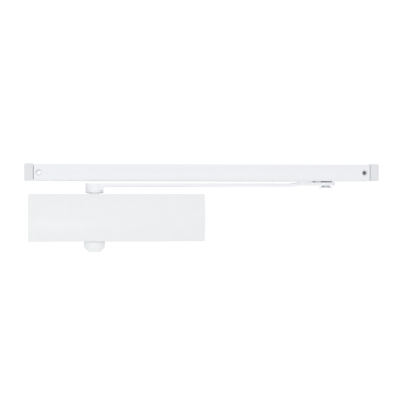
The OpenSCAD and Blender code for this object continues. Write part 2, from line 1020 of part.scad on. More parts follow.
module slide_shoe() {
    neck_z = arm_end_z1 + turn_gap;
    color("lightgray")
        translate([pin_x, rail_mid_y, 0])
            difference() {
                union() {
                    translate([0, 0, shoe_z0])
                        linear_extrude(shoe_z1 - shoe_z0)
                            shoe_plan(shoe_back, shoe_front, shoe_w, shoe_lead);
                    translate([0, 0, neck_z])
                        linear_extrude(shoe_z0 - neck_z + over)
                            shoe_plan(shoe_neck_back, shoe_neck_front, shoe_neck_w, 1.5);
                    translate([-shoe_neck_back, -shoe_lip_w / 2, neck_z])
                        cube([shoe_lip_len, shoe_lip_w, rail_z0 - turn_gap - neck_z]);
                }
                translate([0, 0, neck_z - over])
                    cylinder(h = washer_t + over, d = washer_d + 2 * turn_gap);
                cylinder(h = rail_z1, r = pin_d / 2 + run_fit);
                translate([0, 0, circlip_z - turn_gap])
                    cylinder(h = rail_h, r = circlip_r + 1);
            }
}

// Rail

// Section of the rail, with x as the depth behind the front and y as the height
module rail_section() {
    cut = rail_front_cut;
    difference() {
        polygon([
            [cut, 0], [rail_depth, 0], [rail_depth, rail_h],
            [cut, rail_h], [0, rail_h - cut], [0, cut]
        ]);
        translate([rail_wall, rail_wall])
            square([rail_depth - 2 * rail_wall, rail_h - 2 * rail_wall]);
        translate([(rail_depth - slot_w) / 2, -over])
            square([slot_w, rail_wall + 2 * over]);
    }
}

// Places children on both screw holes of the rail, with +Z pointing to the front
module on_rail_holes() {
    for (x = [profile_x0 + rail_hole_in, profile_x1 - rail_hole_in]) {
        translate([x, 0, rail_z0 + rail_h / 2])
            rotate([90, 0, 0])
                children();
    }
}

module rail() {
    color("whitesmoke")
        difference() {
            translate([profile_x0, -rail_depth, rail_z0])
                rotate([90, 0, 90])
                    linear_extrude(profile_x1 - profile_x0)
                        rail_section();
            on_rail_holes() {
                translate([0, 0, -over])
                    cylinder(h = rail_depth + 2 * over, d = rail_hole_d);
                translate([0, 0, rail_depth - rail_wall])
                    cylinder(h = rail_wall + 0.01, r1 = rail_hole_d / 2, r2 = sink_r + 0.01);
            }
        }
}

// An end cap whose outer face is at X = 0 and whose tongue points along +X
module rail_cap_shape() {
    z0 = rail_z0 + cap_short_bottom;
    z1 = rail_z1 + cap_proud_top;
    tongue = rail_wall + tongue_fit;
    difference() {
        union() {
            rotate([90, 0, 0])
                linear_extrude(rail_depth + cap_proud_front)
                    polygon([
                        [0, z0], [cap_len - reveal, z0], [cap_len - reveal, z1],
                        [cap_corner, z1], [0, z1 - cap_corner]
                    ]);
            translate([cap_len - reveal - over, -rail_depth + tongue, rail_z0 + tongue])
                cube([tongue_len + reveal + over, rail_depth - 2 * tongue, rail_h - 2 * tongue]);
        }
        translate([cap_len + rail_hole_in, over, rail_z0 + rail_h / 2])
            rotate([90, 0, 0])
                cylinder(h = rail_depth + 2 * over, d = rail_hole_d);
    }
}

module rail_cap_left() {
    color("lightgray")
        translate([rail_x0, 0, 0])
            rail_cap_shape();
}

module rail_cap_right() {
    color("lightgray")
        translate([rail_x1, 0, 0])
            mirror([1, 0, 0])
                rail_cap_shape();
}

housing();
left_end_plug();
right_end_plug();
end_plug_seals();
upper_bearing();
lower_bearing();
upper_gland_nut();
lower_gland_nut();
spindle_seals();
spindle();
spindle_cap();
piston();
piston_rings();
check_ball();
check_ball_cage();
main_spring();
spring_seat();
spring_adjuster();
adjuster_seal();
closing_speed_valve();
closing_valve_seal();
latching_speed_valve();
latching_valve_seal();
backcheck_valve();
backcheck_valve_seal();
cover();
cover_clips();
clip_screws();
arm();
arm_screw();
slider_pin();
pin_circlip();
slider_washer();
bowed_washer();
slide_shoe();
rail();
rail_cap_left();
rail_cap_right();
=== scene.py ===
"""The looks of a surface-mounted door closer with a single arm and a slide rail.

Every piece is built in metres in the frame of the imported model. Places come from the
boxes of the CAD nodes, and the sizes of small details are fields of each sub-assembly.
"""

import json
import logging
import math
from collections.abc import Callable, Iterable, Sequence
from dataclasses import dataclass, field
from enum import Enum

import bmesh
import bpy
from mathutils import Matrix, Vector


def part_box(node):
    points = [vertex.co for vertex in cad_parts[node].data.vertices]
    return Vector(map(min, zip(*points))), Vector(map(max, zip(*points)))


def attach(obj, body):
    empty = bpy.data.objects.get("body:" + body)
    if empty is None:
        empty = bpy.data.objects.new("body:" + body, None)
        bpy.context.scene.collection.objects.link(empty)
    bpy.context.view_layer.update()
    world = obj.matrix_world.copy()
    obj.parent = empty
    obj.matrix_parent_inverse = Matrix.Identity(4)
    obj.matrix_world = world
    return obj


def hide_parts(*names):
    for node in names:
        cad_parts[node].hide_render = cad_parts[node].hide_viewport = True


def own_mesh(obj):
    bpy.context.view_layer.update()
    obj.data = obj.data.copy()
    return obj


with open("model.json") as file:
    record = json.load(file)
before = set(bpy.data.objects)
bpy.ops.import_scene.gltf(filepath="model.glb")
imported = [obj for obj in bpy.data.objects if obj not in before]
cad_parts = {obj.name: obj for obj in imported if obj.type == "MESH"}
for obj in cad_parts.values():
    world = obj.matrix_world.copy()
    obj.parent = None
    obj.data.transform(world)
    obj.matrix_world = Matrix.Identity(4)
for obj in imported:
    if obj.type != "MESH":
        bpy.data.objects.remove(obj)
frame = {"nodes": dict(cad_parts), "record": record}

LOG = logging.getLogger("door_closer")
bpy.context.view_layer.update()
MM = 0.001
QUARTER = math.pi / 2
TURN = 2 * math.pi

Point = tuple[float, float]
Corner = tuple[float, float, float]


# --------------------------------------------------------------------------------------
# Shapes


class Axis(Enum):
    """A row axis, with the two axes that an outline across it is drawn on."""

    X = (1, 2, 0)
    Y = (0, 2, 1)
    Z = (0, 1, 2)

    def point(self, across: Point, along: float) -> Vector:
        """The point in space at a place on the outline and a distance along the axis."""
        place = [0.0, 0.0, 0.0]
        first, second, third = self.value
        place[first] = across[0]
        place[second] = across[1]
        place[third] = along
        return Vector(place)


@dataclass(frozen=True)
class Extent:
    """The box that a CAD node fills at rest."""

    low: Vector
    high: Vector

    @classmethod
    def of(cls, node: str) -> "Extent":
        """Measures the box of one CAD node."""
        return cls(*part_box(node))

    @property
    def size(self) -> Vector:
        """Length of the box along each axis."""
        return self.high - self.low

    @property
    def centre(self) -> Vector:
        """Middle of the box."""
        return (self.high + self.low) / 2


def spindle_axis() -> Vector:
    """Where the spindle's axis crosses the middle height of the body."""
    bearing = Extent.of("upper_bearing").centre
    return Vector((bearing.x, bearing.y, 0.0))


def arc(centre: Point, radius: float, start: float, stop: float, steps: int) -> list[Point]:
    """Points along a circular arc.

    Args:
        centre: Centre of the circle.
        radius: Radius of the circle.
        start: First angle, in radians.
        stop: Last angle, in radians.
        steps: How many equal steps the arc is cut into.

    Returns:
        The points from start to stop, both included.
    """
    angles = [start + (stop - start) * i / steps for i in range(steps + 1)]
    return [(centre[0] + radius * math.cos(a), centre[1] + radius * math.sin(a)) for a in angles]


def rounded(corners: Sequence[Corner], steps: int = 5) -> list[Point]:
    """An outline whose corners are turned into arcs.

    Args:
        corners: Each corner's place and radius. A radius of 0 leaves it sharp.
        steps: How many steps each arc is cut into.

    Returns:
        The points of the closed outline.
    """
    points: list[Point] = []
    for i, (x, y, radius) in enumerate(corners):
        here = Vector((x, y))
        back = Vector(corners[i - 1][:2]) - here
        ahead = Vector(corners[(i + 1) % len(corners)][:2]) - here
        half = back.angle(ahead) / 2
        if radius <= 0 or half > QUARTER - 0.01:
            points.append((x, y))
            continue
        middle = (back.normalized() + ahead.normalized()).normalized()
        centre = here + middle * (radius / math.sin(half))
        first = here + back.normalized() * (radius / math.tan(half)) - centre
        last = here + ahead.normalized() * (radius / math.tan(half)) - centre
        sweep = math.atan2(first.x * last.y - first.y * last.x, first.dot(last))
        start = math.atan2(first.y, first.x)
        points += arc((centre.x, centre.y), radius, start, start + sweep, steps)
    return points


def inset_outline(outline: Sequence[Point], distance: float) -> list[Point]:
    """The outline moved inwards by a small distance."""
    count = len(outline)
    area = sum(
        outline[i - 1][0] * outline[i][1] - outline[i][0] * outline[i - 1][1]
        for i in range(count)
    )
    side = 1.0 if area > 0 else -1.0
    moved = []
    for i in range(count):
        here = Vector(outline[i])
        back = (here - Vector(outline[i - 1])).normalized()
        ahead = (Vector(outline[(i + 1) % count]) - here).normalized()
        inward_back = Vector((-back.y, back.x)) * side
        inward_ahead = Vector((-ahead.y, ahead.x)) * side
        inward = (inward_back + inward_ahead).normalized()
        reach = distance / max(0.4, inward.dot(inward_back))
        moved.append(tuple(here + inward * reach))
    return moved


def smooth_mesh(mesh: bpy.types.Mesh, angle: float = 32.0) -> None:
    """Shades a mesh smooth, apart from edges sharper than an angle in degrees."""
    mesh.shade_smooth()
    mesh.set_sharp_from_angle(angle=math.radians(angle))


def mesh_object(name: str, shape: bmesh.types.BMesh, angle: float = 32.0) -> bpy.types.Object:
    """Turns a bmesh into an object of the scene with outward faces.

    Args:
        name: Name of the object.
        shape: The closed shape, which is freed.
        angle: Edges sharper than this, in degrees, stay sharp.

    Returns:
        The new object, at the origin.
    """
    bmesh.ops.remove_doubles(shape, verts=shape.verts, dist=1e-7)
    loose = [edge for edge in shape.edges if not edge.link_faces]
    bmesh.ops.delete(shape, geom=loose, context="EDGES")
    bmesh.ops.recalc_face_normals(shape, faces=shape.faces)
    mesh = bpy.data.meshes.new(name)
    shape.to_mesh(mesh)
    shape.free()
    smooth_mesh(mesh, angle)
    made = bpy.data.objects.new(name, mesh)
    bpy.context.scene.collection.objects.link(made)
    return made


def skin(rings: Sequence[Sequence[Vector]], capped: bool = True) -> bmesh.types.BMesh:
    """A closed shape through rings that all have as many points.

    Args:
        rings: The rings in order.
        capped: Whether the first and last ring are filled. If not, they are joined.

    Returns:
        The shape.
    """
    shape = bmesh.new()
    rows = [[shape.verts.new(p) for p in ring] for ring in rings]
    pairs = list(zip(rows, rows[1:]))
    if not capped:
        pairs.append((rows[-1], rows[0]))
    for lower, upper in pairs:
        for i in range(len(lower)):
            j = (i + 1) % len(lower)
            shape.faces.new((lower[i], lower[j], upper[j], upper[i]))
    if capped:
        shape.faces.new(rows[0])
        shape.faces.new(rows[-1])
    return shape


def prism(
    name: str,
    outline: Sequence[Point],
    axis: Axis,
    low: float,
    high: float,
    edge: float = 0.0,
    steps: int = 3,
) -> bpy.types.Object:
    """A straight bar of an outline, with rounded edges at both ends.

    Args:
        name: Name of the object.
        outline: The closed outline, on the two other axes.
        axis: The axis that the bar runs along.
        low: Where it starts.
        high: Where it ends.
        edge: Radius of the edges at both ends.
        steps: How many steps each rounded edge is cut into.

    Returns:
        The bar.
    """
    levels = [(0.0, 0.0)]
    if edge > 0:
        angles = [QUARTER * i / steps for i in range(steps + 1)]
        levels = [(edge * (1 - math.sin(a)), edge * (1 - math.cos(a))) for a in angles]
    rings = []
    for inset, depth in levels:
        loop = inset_outline(outline, inset) if inset > 0 else outline
        rings.append([axis.point(p, low + depth) for p in loop])
    for inset, depth in reversed(levels):
        loop = inset_outline(outline, inset) if inset > 0 else outline
        rings.append([axis.point(p, high - depth) for p in loop])
    return mesh_object(name, skin(rings))


def turned(
    name: str,
    profile: Sequence[Point],
    centre: Vector,
    axis: Axis = Axis.Z,
    steps: int = 96,
) -> bpy.types.Object:
    """A turned piece.

    Args:
        name: Name of the object.
        profile: Closed outline of half the section, as radius and place along the axis.
        centre: A point on the axis of the piece, from which places are counted.
        axis: The axis that the piece is turned about.
        steps: How many steps go round.

    Returns:
        The piece, with its poles closed.
    """
    rings = []
    for k in range(steps):
        angle = TURN * k / steps
        rings.append(
            [
                centre + axis.point((r * math.cos(angle), r * math.sin(angle)), h)
                for r, h in profile
            ]
        )
    return mesh_object(name, skin(rings, capped=False))


def bored(outer: Sequence[Corner], bore: float) -> list[Point]:
    """Half the section of a turned ring: the rounded outside corners, and a plain bore."""
    first, last = outer[0], outer[-1]
    return rounded([(bore, first[1], 0.0), *outer, (bore, last[1], 0.0)])


def solid_of(outer: Sequence[Corner]) -> list[Point]:
    """Half the section of a turned piece with no bore, closed along its axis."""
    return bored(outer, 0.0)


def applied(piece: bpy.types.Object) -> bpy.types.Object:
    """Turns what a piece's modifiers make into its own plain mesh."""
    evaluated = piece.evaluated_get(bpy.context.evaluated_depsgraph_get())
    mesh = bpy.data.meshes.new_from_object(evaluated)
    piece.modifiers.clear()
    piece.data = mesh
    mesh.name = piece.name
    return piece


class Cut(Enum):
    """What a boolean does with its tools."""

    AWAY = "DIFFERENCE"
    TOGETHER = "UNION"
    WITHIN = "INTERSECT"


def combined(
    piece: bpy.types.Object, tools: Iterable[bpy.types.Object], cut: Cut
) -> bpy.types.Object:
    """Cuts tools away from a piece or joins them to it, and removes the tools.

    Args:
        piece: The piece to change.
        tools: Closed shapes.
        cut: Whether the tools are cut away, joined, or keep only what they hold.

    Returns:
        The changed piece.
    """
    for tool in tools:
        modifier = piece.modifiers.new("cut", "BOOLEAN")
        modifier.operation = cut.value
        modifier.solver = "EXACT"
        modifier.object = tool
        applied(piece)
        bpy.data.objects.remove(tool)
    return piece


def eased(
    piece: bpy.types.Object, width: float, angle: float = 50.0, steps: int = 2
) -> bpy.types.Object:
    """Breaks the edges of a piece that are sharper than an angle.

    Args:
        piece: The piece to change.
        width: Width of the broken edge.
        angle: Smallest angle of an edge that is broken, in degrees.
        steps: How many steps each broken edge is cut into.

    Returns:
        The changed piece.
    """
    shape = bmesh.new()
    shape.from_mesh(piece.data)
    bmesh.ops.remove_doubles(shape, verts=shape.verts, dist=2e-6)
    shape.to_mesh(piece.data)
    shape.free()
    modifier = piece.modifiers.new("edges", "BEVEL")
    modifier.width = width
    modifier.segments = steps
    modifier.limit_method = "ANGLE"
    modifier.angle_limit = math.radians(angle)
    applied(piece)
    smooth_mesh(piece.data)
    return piece


# --------------------------------------------------------------------------------------
# Node trees that repeat or extrude


class Tree:
    """A Geometry Nodes tree in the making, with short calls for nodes and links."""

    def __init__(self, name: str) -> None:
        """Starts an empty tree with geometry going in and coming out."""
        self.group = bpy.data.node_groups.new(name, "GeometryNodeTree")
        self.socket("Geometry", "NodeSocketGeometry")
        self.group.interface.new_socket(
            "Geometry", in_out="OUTPUT", socket_type="NodeSocketGeometry"
        )
        self.source = self.group.nodes.new("NodeGroupInput")
        self.target = self.group.nodes.new("NodeGroupOutput")

    def socket(self, name: str, kind: str) -> None:
        """Adds a named input to the tree."""
        self.group.interface.new_socket(name, in_out="INPUT", socket_type=kind)

    def node(self, kind: str, **settings: object) -> bpy.types.Node:
        """Adds a node and sets its properties."""
        made = self.group.nodes.new(kind)
        for key, value in settings.items():
            setattr(made, key, value)
        return made

    def link(self, output: bpy.types.NodeSocket, target: bpy.types.NodeSocket) -> None:
        """Joins two sockets."""
        self.group.links.new(output, target)

    def finish(self, geometry: bpy.types.NodeSocket) -> bpy.types.NodeTree:
        """Ends the tree in Realize Instances and Set Material."""
        realize = self.node("GeometryNodeRealizeInstances")
        material = self.node("GeometryNodeSetMaterial")
        self.link(geometry, realize.inputs["Geometry"])
        self.link(realize.outputs["Geometry"], material.inputs["Geometry"])
        self.link(self.source.outputs["Material"], material.inputs["Material"])
        self.link(material.outputs["Geometry"], self.target.inputs["Geometry"])
        return self.group


def row_tree() -> bpy.types.NodeTree:
    """A tree that repeats its own mesh along a straight row.

    Returns:
        The tree, with the inputs Count, Step and Material.
    """
    tree = Tree("row_of_copies")
    tree.socket("Count", "NodeSocketInt")
    tree.socket("Step", "NodeSocketVector")
    tree.socket("Material", "NodeSocketMaterial")
    line = tree.node("GeometryNodeMeshLine", mode="OFFSET")
    copies = tree.node("GeometryNodeInstanceOnPoints")
    tree.link(tree.source.outputs["Count"], line.inputs["Count"])
    tree.link(tree.source.outputs["Step"], line.inputs["Offset"])
    tree.link(line.outputs["Mesh"], copies.inputs["Points"])
    tree.link(tree.source.outputs["Geometry"], copies.inputs["Instance"])
    return tree.finish(copies.outputs["Instances"])


def extrusion_tree() -> bpy.types.NodeTree:
    """A tree that draws a flat section out into a closed bar.

    Returns:
        The tree, with the inputs Way and Material.
    """
    tree = Tree("drawn_section")
    tree.socket("Way", "NodeSocketVector")
    tree.socket("Material", "NodeSocketMaterial")
    draw = tree.node("GeometryNodeExtrudeMesh", mode="FACES")
    draw.inputs["Individual"].default_value = False
    flip = tree.node("GeometryNodeFlipFaces")
    join = tree.node("GeometryNodeJoinGeometry")
    weld = tree.node("GeometryNodeMergeByDistance")
    weld.inputs["Distance"].default_value = 1e-6
    tree.link(tree.source.outputs["Geometry"], draw.inputs["Mesh"])
    tree.link(tree.source.outputs["Way"], draw.inputs["Offset"])
    tree.link(tree.source.outputs["Geometry"], flip.inputs["Mesh"])
    tree.link(draw.outputs["Mesh"], join.inputs["Geometry"])
    tree.link(flip.outputs["Mesh"], join.inputs["Geometry"])
    tree.link(join.outputs["Geometry"], weld.inputs["Geometry"])
    return tree.finish(weld.outputs["Geometry"])


def coil_tree() -> bpy.types.NodeTree:
    """A tree that winds a wire into a coil along +Z.

    Returns:
        The tree, with the inputs Radius, Wire Radius, Height, Turns and Material.
    """
    tree = Tree("wound_coil")
    for name in ("Radius", "Wire Radius", "Height", "Turns"):
        tree.socket(name, "NodeSocketFloat")
    tree.socket("Material", "NodeSocketMaterial")
    path = tree.node("GeometryNodeCurveSpiral")
    path.inputs["Resolution"].default_value = 36
    wire = tree.node("GeometryNodeCurvePrimitiveCircle")
    wire.inputs["Resolution"].default_value = 14
    sweep = tree.node("GeometryNodeCurveToMesh")
    sweep.inputs["Fill Caps"].default_value = True
    given = tree.source.outputs
    tree.link(given["Turns"], path.inputs["Rotations"])
    tree.link(given["Radius"], path.inputs["Start Radius"])
    tree.link(given["Radius"], path.inputs["End Radius"])
    tree.link(given["Height"], path.inputs["Height"])
    tree.link(given["Wire Radius"], wire.inputs["Radius"])
    tree.link(path.outputs["Curve"], sweep.inputs["Curve"])
    tree.link(wire.outputs["Curve"], sweep.inputs["Profile Curve"])
    return tree.finish(sweep.outputs["Mesh"])


def grown(
    piece: bpy.types.Object, tree: bpy.types.NodeTree, **values: object
) -> bpy.types.Object:
    """Runs a Geometry Nodes tree on a piece and keeps the result as its plain mesh.

    Args:
        piece: The piece whose mesh goes in.
        tree: The tree.
        values: The tree's inputs by name, with a low line in place of each space.

    Returns:
        The piece, with no modifier left.
    """
    modifier = piece.modifiers.new("nodes", "NODES")
    modifier.node_group = tree
    sockets = {
        item.name.lower().replace(" ", "_"): item.identifier
        for item in tree.interface.items_tree
        if item.in_out == "INPUT"
    }
    for name, value in values.items():
        modifier[sockets[name]] = value
    applied(piece)
    smooth_mesh(piece.data)
    return piece


# --------------------------------------------------------------------------------------
# Shader groups that several finishes use


def shader_group(name: str, inputs: dict[str, str], outputs: dict[str, str]) -> tuple:
    """Starts a shader node group.

    Args:
        name: Name of the group.
        inputs: Each input's name and socket type.
        outputs: Each output's name and socket type.

    Returns:
        The group, its input node and its output node.
    """
    group = bpy.data.node_groups.new(name, "ShaderNodeTree")
    for key, kind in inputs.items():
        group.interface.new_socket(key, in_out="INPUT", socket_type=kind)
    for key, kind in outputs.items():
        group.interface.new_socket(key, in_out="OUTPUT", socket_type=kind)
    return group, group.nodes.new("NodeGroupInput"), group.nodes.new("NodeGroupOutput")


def math_node(nodes: bpy.types.Nodes, operation: str, *values: object) -> bpy.types.Node:
    """Adds a Math node. Plain numbers among the values are set on its sockets."""
    made = nodes.new("ShaderNodeMath")
    made.operation = operation
    for socket, value in zip(made.inputs, values):
        if isinstance(value, (int, float)):
            socket.default_value = value
    return made


def grain_group() -> bpy.types.NodeTree:
    """Fine grain that can be drawn out along one axis, for paint, castings and turned metal.

    Returns:
        The group, with the inputs Vector, Scale and Stretch and the outputs Height and Tone.
    """
    group, given, result = shader_group(
        "fine_grain",
        {"Vector": "NodeSocketVector", "Scale": "NodeSocketFloat", "Stretch": "NodeSocketVector"},
        {"Height": "NodeSocketFloat", "Tone": "NodeSocketFloat"},
    )
    nodes, links = group.nodes, group.links
    stretch = nodes.new("ShaderNodeVectorMath")
    stretch.operation = "MULTIPLY"
    links.new(given.outputs["Vector"], stretch.inputs[0])
    links.new(given.outputs["Stretch"], stretch.inputs[1])
    fine = nodes.new("ShaderNodeTexNoise")
    fine.inputs["Detail"].default_value = 3.0
    broad = nodes.new("ShaderNodeTexNoise")
    broad.inputs["Detail"].default_value = 1.0
    coarser = math_node(nodes, "MULTIPLY", 0.0, 0.06)
    links.new(given.outputs["Scale"], coarser.inputs[0])
    links.new(given.outputs["Scale"], fine.inputs["Scale"])
    links.new(coarser.outputs[0], broad.inputs["Scale"])
    links.new(stretch.outputs[0], fine.inputs["Vector"])
    links.new(stretch.outputs[0], broad.inputs["Vector"])
    links.new(fine.outputs["Fac"], result.inputs["Height"])
    links.new(broad.outputs["Fac"], result.inputs["Tone"])
    return group


def edge_group() -> bpy.types.NodeTree:
    """A mask that is high along the edges of a piece, where a finish thins first.

    Returns:
        The group, with the inputs Vector and Radius and the output Mask.
    """
    group, given, result = shader_group(
        "edge_mask",
        {"Vector": "NodeSocketVector", "Radius": "NodeSocketFloat"},
        {"Mask": "NodeSocketFloat"},
    )
    nodes, links = group.nodes, group.links
    bevel = nodes.new("ShaderNodeBevel")
    bevel.samples = 4
    surface = nodes.new("ShaderNodeNewGeometry")
    facing = nodes.new("ShaderNodeVectorMath")
    facing.operation = "DOT_PRODUCT"
    links.new(given.outputs["Radius"], bevel.inputs["Radius"])
    links.new(bevel.outputs["Normal"], facing.inputs[0])
    links.new(surface.outputs["Normal"], facing.inputs[1])
    turned_away = nodes.new("ShaderNodeMapRange")
    turned_away.inputs["From Min"].default_value = 0.995
    turned_away.inputs["From Max"].default_value = 0.8
    patches = nodes.new("ShaderNodeTexNoise")
    patches.inputs["Scale"].default_value = 90.0
    patches.inputs["Detail"].default_value = 4.0
    broken = math_node(nodes, "MULTIPLY")
    links.new(facing.outputs["Value"], turned_away.inputs["Value"])
    links.new(given.outputs["Vector"], patches.inputs["Vector"])
    links.new(turned_away.outputs["Result"], broken.inputs[0])
    links.new(patches.outputs["Fac"], broken.inputs[1])
    links.new(broken.outputs[0], result.inputs["Mask"])
    return group


def dust_group() -> bpy.types.NodeTree:
    """A mask of the light dust that settles on faces that look up.

    Returns:
        The group, with the inputs Vector and Amount and the output Mask.
    """
    group, given, result = shader_group(
        "settled_dust",
        {"Vector": "NodeSocketVector", "Amount": "NodeSocketFloat"},
        {"Mask": "NodeSocketFloat"},
    )
    nodes, links = group.nodes, group.links
    surface = nodes.new("ShaderNodeNewGeometry")
    parts = nodes.new("ShaderNodeSeparateXYZ")
    upward = nodes.new("ShaderNodeMapRange")
    upward.inputs["From Min"].default_value = 0.55
    upward.inputs["From Max"].default_value = 1.0
    specks = nodes.new("ShaderNodeTexNoise")
    specks.inputs["Scale"].default_value = 260.0
    specks.inputs["Detail"].default_value = 6.0
    gathered = math_node(nodes, "MULTIPLY")
    amount = math_node(nodes, "MULTIPLY")
    links.new(surface.outputs["Normal"], parts.inputs["Vector"])
    links.new(parts.outputs["Z"], upward.inputs["Value"])
    links.new(given.outputs["Vector"], specks.inputs["Vector"])
    links.new(upward.outputs["Result"], gathered.inputs[0])
    links.new(specks.outputs["Fac"], gathered.inputs[1])
    links.new(gathered.outputs[0], amount.inputs[0])
    links.new(given.outputs["Amount"], amount.inputs[1])
    links.new(amount.outputs[0], result.inputs["Mask"])
    return group


# --------------------------------------------------------------------------------------
# Finishes


class Grain(Enum):
    """How a surface was made: the size of its grain, and how it is drawn out on X, Y and Z."""

    SPRAYED = (1500.0, (1.0, 1.0, 1.0))
    EXTRUDED = (2600.0, (0.012, 1.0, 1.0))
    TURNED_Z = (3000.0, (1.0, 1.0, 14.0))
    TURNED_X = (3000.0, (14.0, 1.0, 1.0))
    MOULDED = (2600.0, (1.0, 1.0, 1.0))
    CAST = (900.0, (1.0, 1.0, 1.0))
    ROLLED = (2200.0, (1.0, 0.05, 1.0))


@dataclass(frozen=True)
class Finish:
    """One finish, named for the record's material slot that it stands for.

    Attributes:
        slot: Name of the material slot.
        colour: Base colour, linear.
        roughness: Roughness of a clean, flat part of the surface.
        grain: How the surface was made.
        relief: Depth of the grain, in metres.
        metallic: 1 for bare metal.
        coat: Weight of a clear coat.
        spread: How far the tone wanders from the base colour.
        worn: Colour where an edge is rubbed, linear.
        wear: How much of an edge is rubbed.
        dust: How much dust lies on faces that look up.
    """

    slot: str
    colour: tuple[float, float, float]
    roughness: float
    grain: Grain
    relief: float
    metallic: float = 0.0
    coat: float = 0.0
    spread: float = 0.03
    worn: tuple[float, float, float] = (0.8, 0.8, 0.8)
    wear: float = 0.0
    dust: float = 0.0

    def build(self, groups: "FinishGroups") -> bpy.types.Material:
        """Builds the material of this finish.

        Args:
            groups: The shader groups that finishes share.

        Returns:
            The material.
        """
        material = bpy.data.materials.new(self.slot)
        material.use_nodes = True
        nodes, links = material.node_tree.nodes, material.node_tree.links
        shader = nodes["Principled BSDF"]
        shader.inputs["Metallic"].default_value = self.metallic
        shader.inputs["Coat Weight"].default_value = self.coat
        shader.inputs["Coat Roughness"].default_value = 0.12
        place = nodes.new("ShaderNodeTexCoord").outputs["Object"]
        grain = self._group(nodes, groups.grain)
        scale, stretch = self.grain.value
        grain.inputs["Scale"].default_value = scale
        grain.inputs["Stretch"].default_value = stretch
        links.new(place, grain.inputs["Vector"])

        tone = nodes.new("ShaderNodeMapRange")
        tone.inputs["From Min"].default_value = 0.3
        tone.inputs["From Max"].default_value = 0.7
        tone.inputs["To Min"].default_value = 1 - self.spread
        tone.inputs["To Max"].default_value = 1 + self.spread
        links.new(grain.outputs["Tone"], tone.inputs["Value"])
        colour = nodes.new("ShaderNodeVectorMath")
        colour.operation = "SCALE"
        colour.inputs[0].default_value = self.colour
        links.new(tone.outputs["Result"], colour.inputs["Scale"])
        last = colour.outputs["Vector"]
        if self.wear > 0:
            edge = self._group(nodes, groups.edge)
            edge.inputs["Radius"].default_value = 0.6 * MM
            links.new(place, edge.inputs["Vector"])
            amount = math_node(nodes, "MULTIPLY", 0.0, self.wear)
            links.new(edge.outputs["Mask"], amount.inputs[0])
            last = self._mixed(material, last, self.worn, amount.outputs[0])
        if self.dust > 0:
            dust = self._group(nodes, groups.dust)
            dust.inputs["Amount"].default_value = self.dust
            links.new(place, dust.inputs["Vector"])
            last = self._mixed(material, last, (0.7, 0.69, 0.67), dust.outputs["Mask"])
        links.new(last, shader.inputs["Base Color"])

        rough = nodes.new("ShaderNodeMapRange")
        rough.inputs["To Min"].default_value = max(0.04, self.roughness - 0.06)
        rough.inputs["To Max"].default_value = min(1.0, self.roughness + 0.06)
        links.new(grain.outputs["Tone"], rough.inputs["Value"])
        links.new(rough.outputs["Result"], shader.inputs["Roughness"])
        bump = nodes.new("ShaderNodeBump")
        bump.inputs["Strength"].default_value = 1.0
        bump.inputs["Distance"].default_value = self.relief
        links.new(grain.outputs["Height"], bump.inputs["Height"])
        links.new(bump.outputs["Normal"], shader.inputs["Normal"])
        return material

    @staticmethod
    def _group(nodes: bpy.types.Nodes, tree: bpy.types.NodeTree) -> bpy.types.Node:
        """Places a shared shader group in a material."""
        made = nodes.new("ShaderNodeGroup")
        made.node_tree = tree
        return made

    @staticmethod
    def _mixed(
        material: bpy.types.Material,
        base: bpy.types.NodeSocket,
        over: tuple[float, float, float],
        mask: bpy.types.NodeSocket,
    ) -> bpy.types.NodeSocket:
        """Lays one plain colour over another by a mask."""
        nodes, links = material.node_tree.nodes, material.node_tree.links
        mix = nodes.new("ShaderNodeMix")
        mix.data_type = "RGBA"
        links.new(mask, mix.inputs["Factor"])
        links.new(base, mix.inputs["A"])
        mix.inputs["B"].default_value = (*over, 1.0)
        return mix.outputs["Result"]


@dataclass
class FinishGroups:
    """The shader groups that finishes share, each built once."""

    grain: bpy.types.NodeTree = field(default_factory=grain_group)
    edge: bpy.types.NodeTree = field(default_factory=edge_group)
    dust: bpy.types.NodeTree = field(default_factory=dust_group)


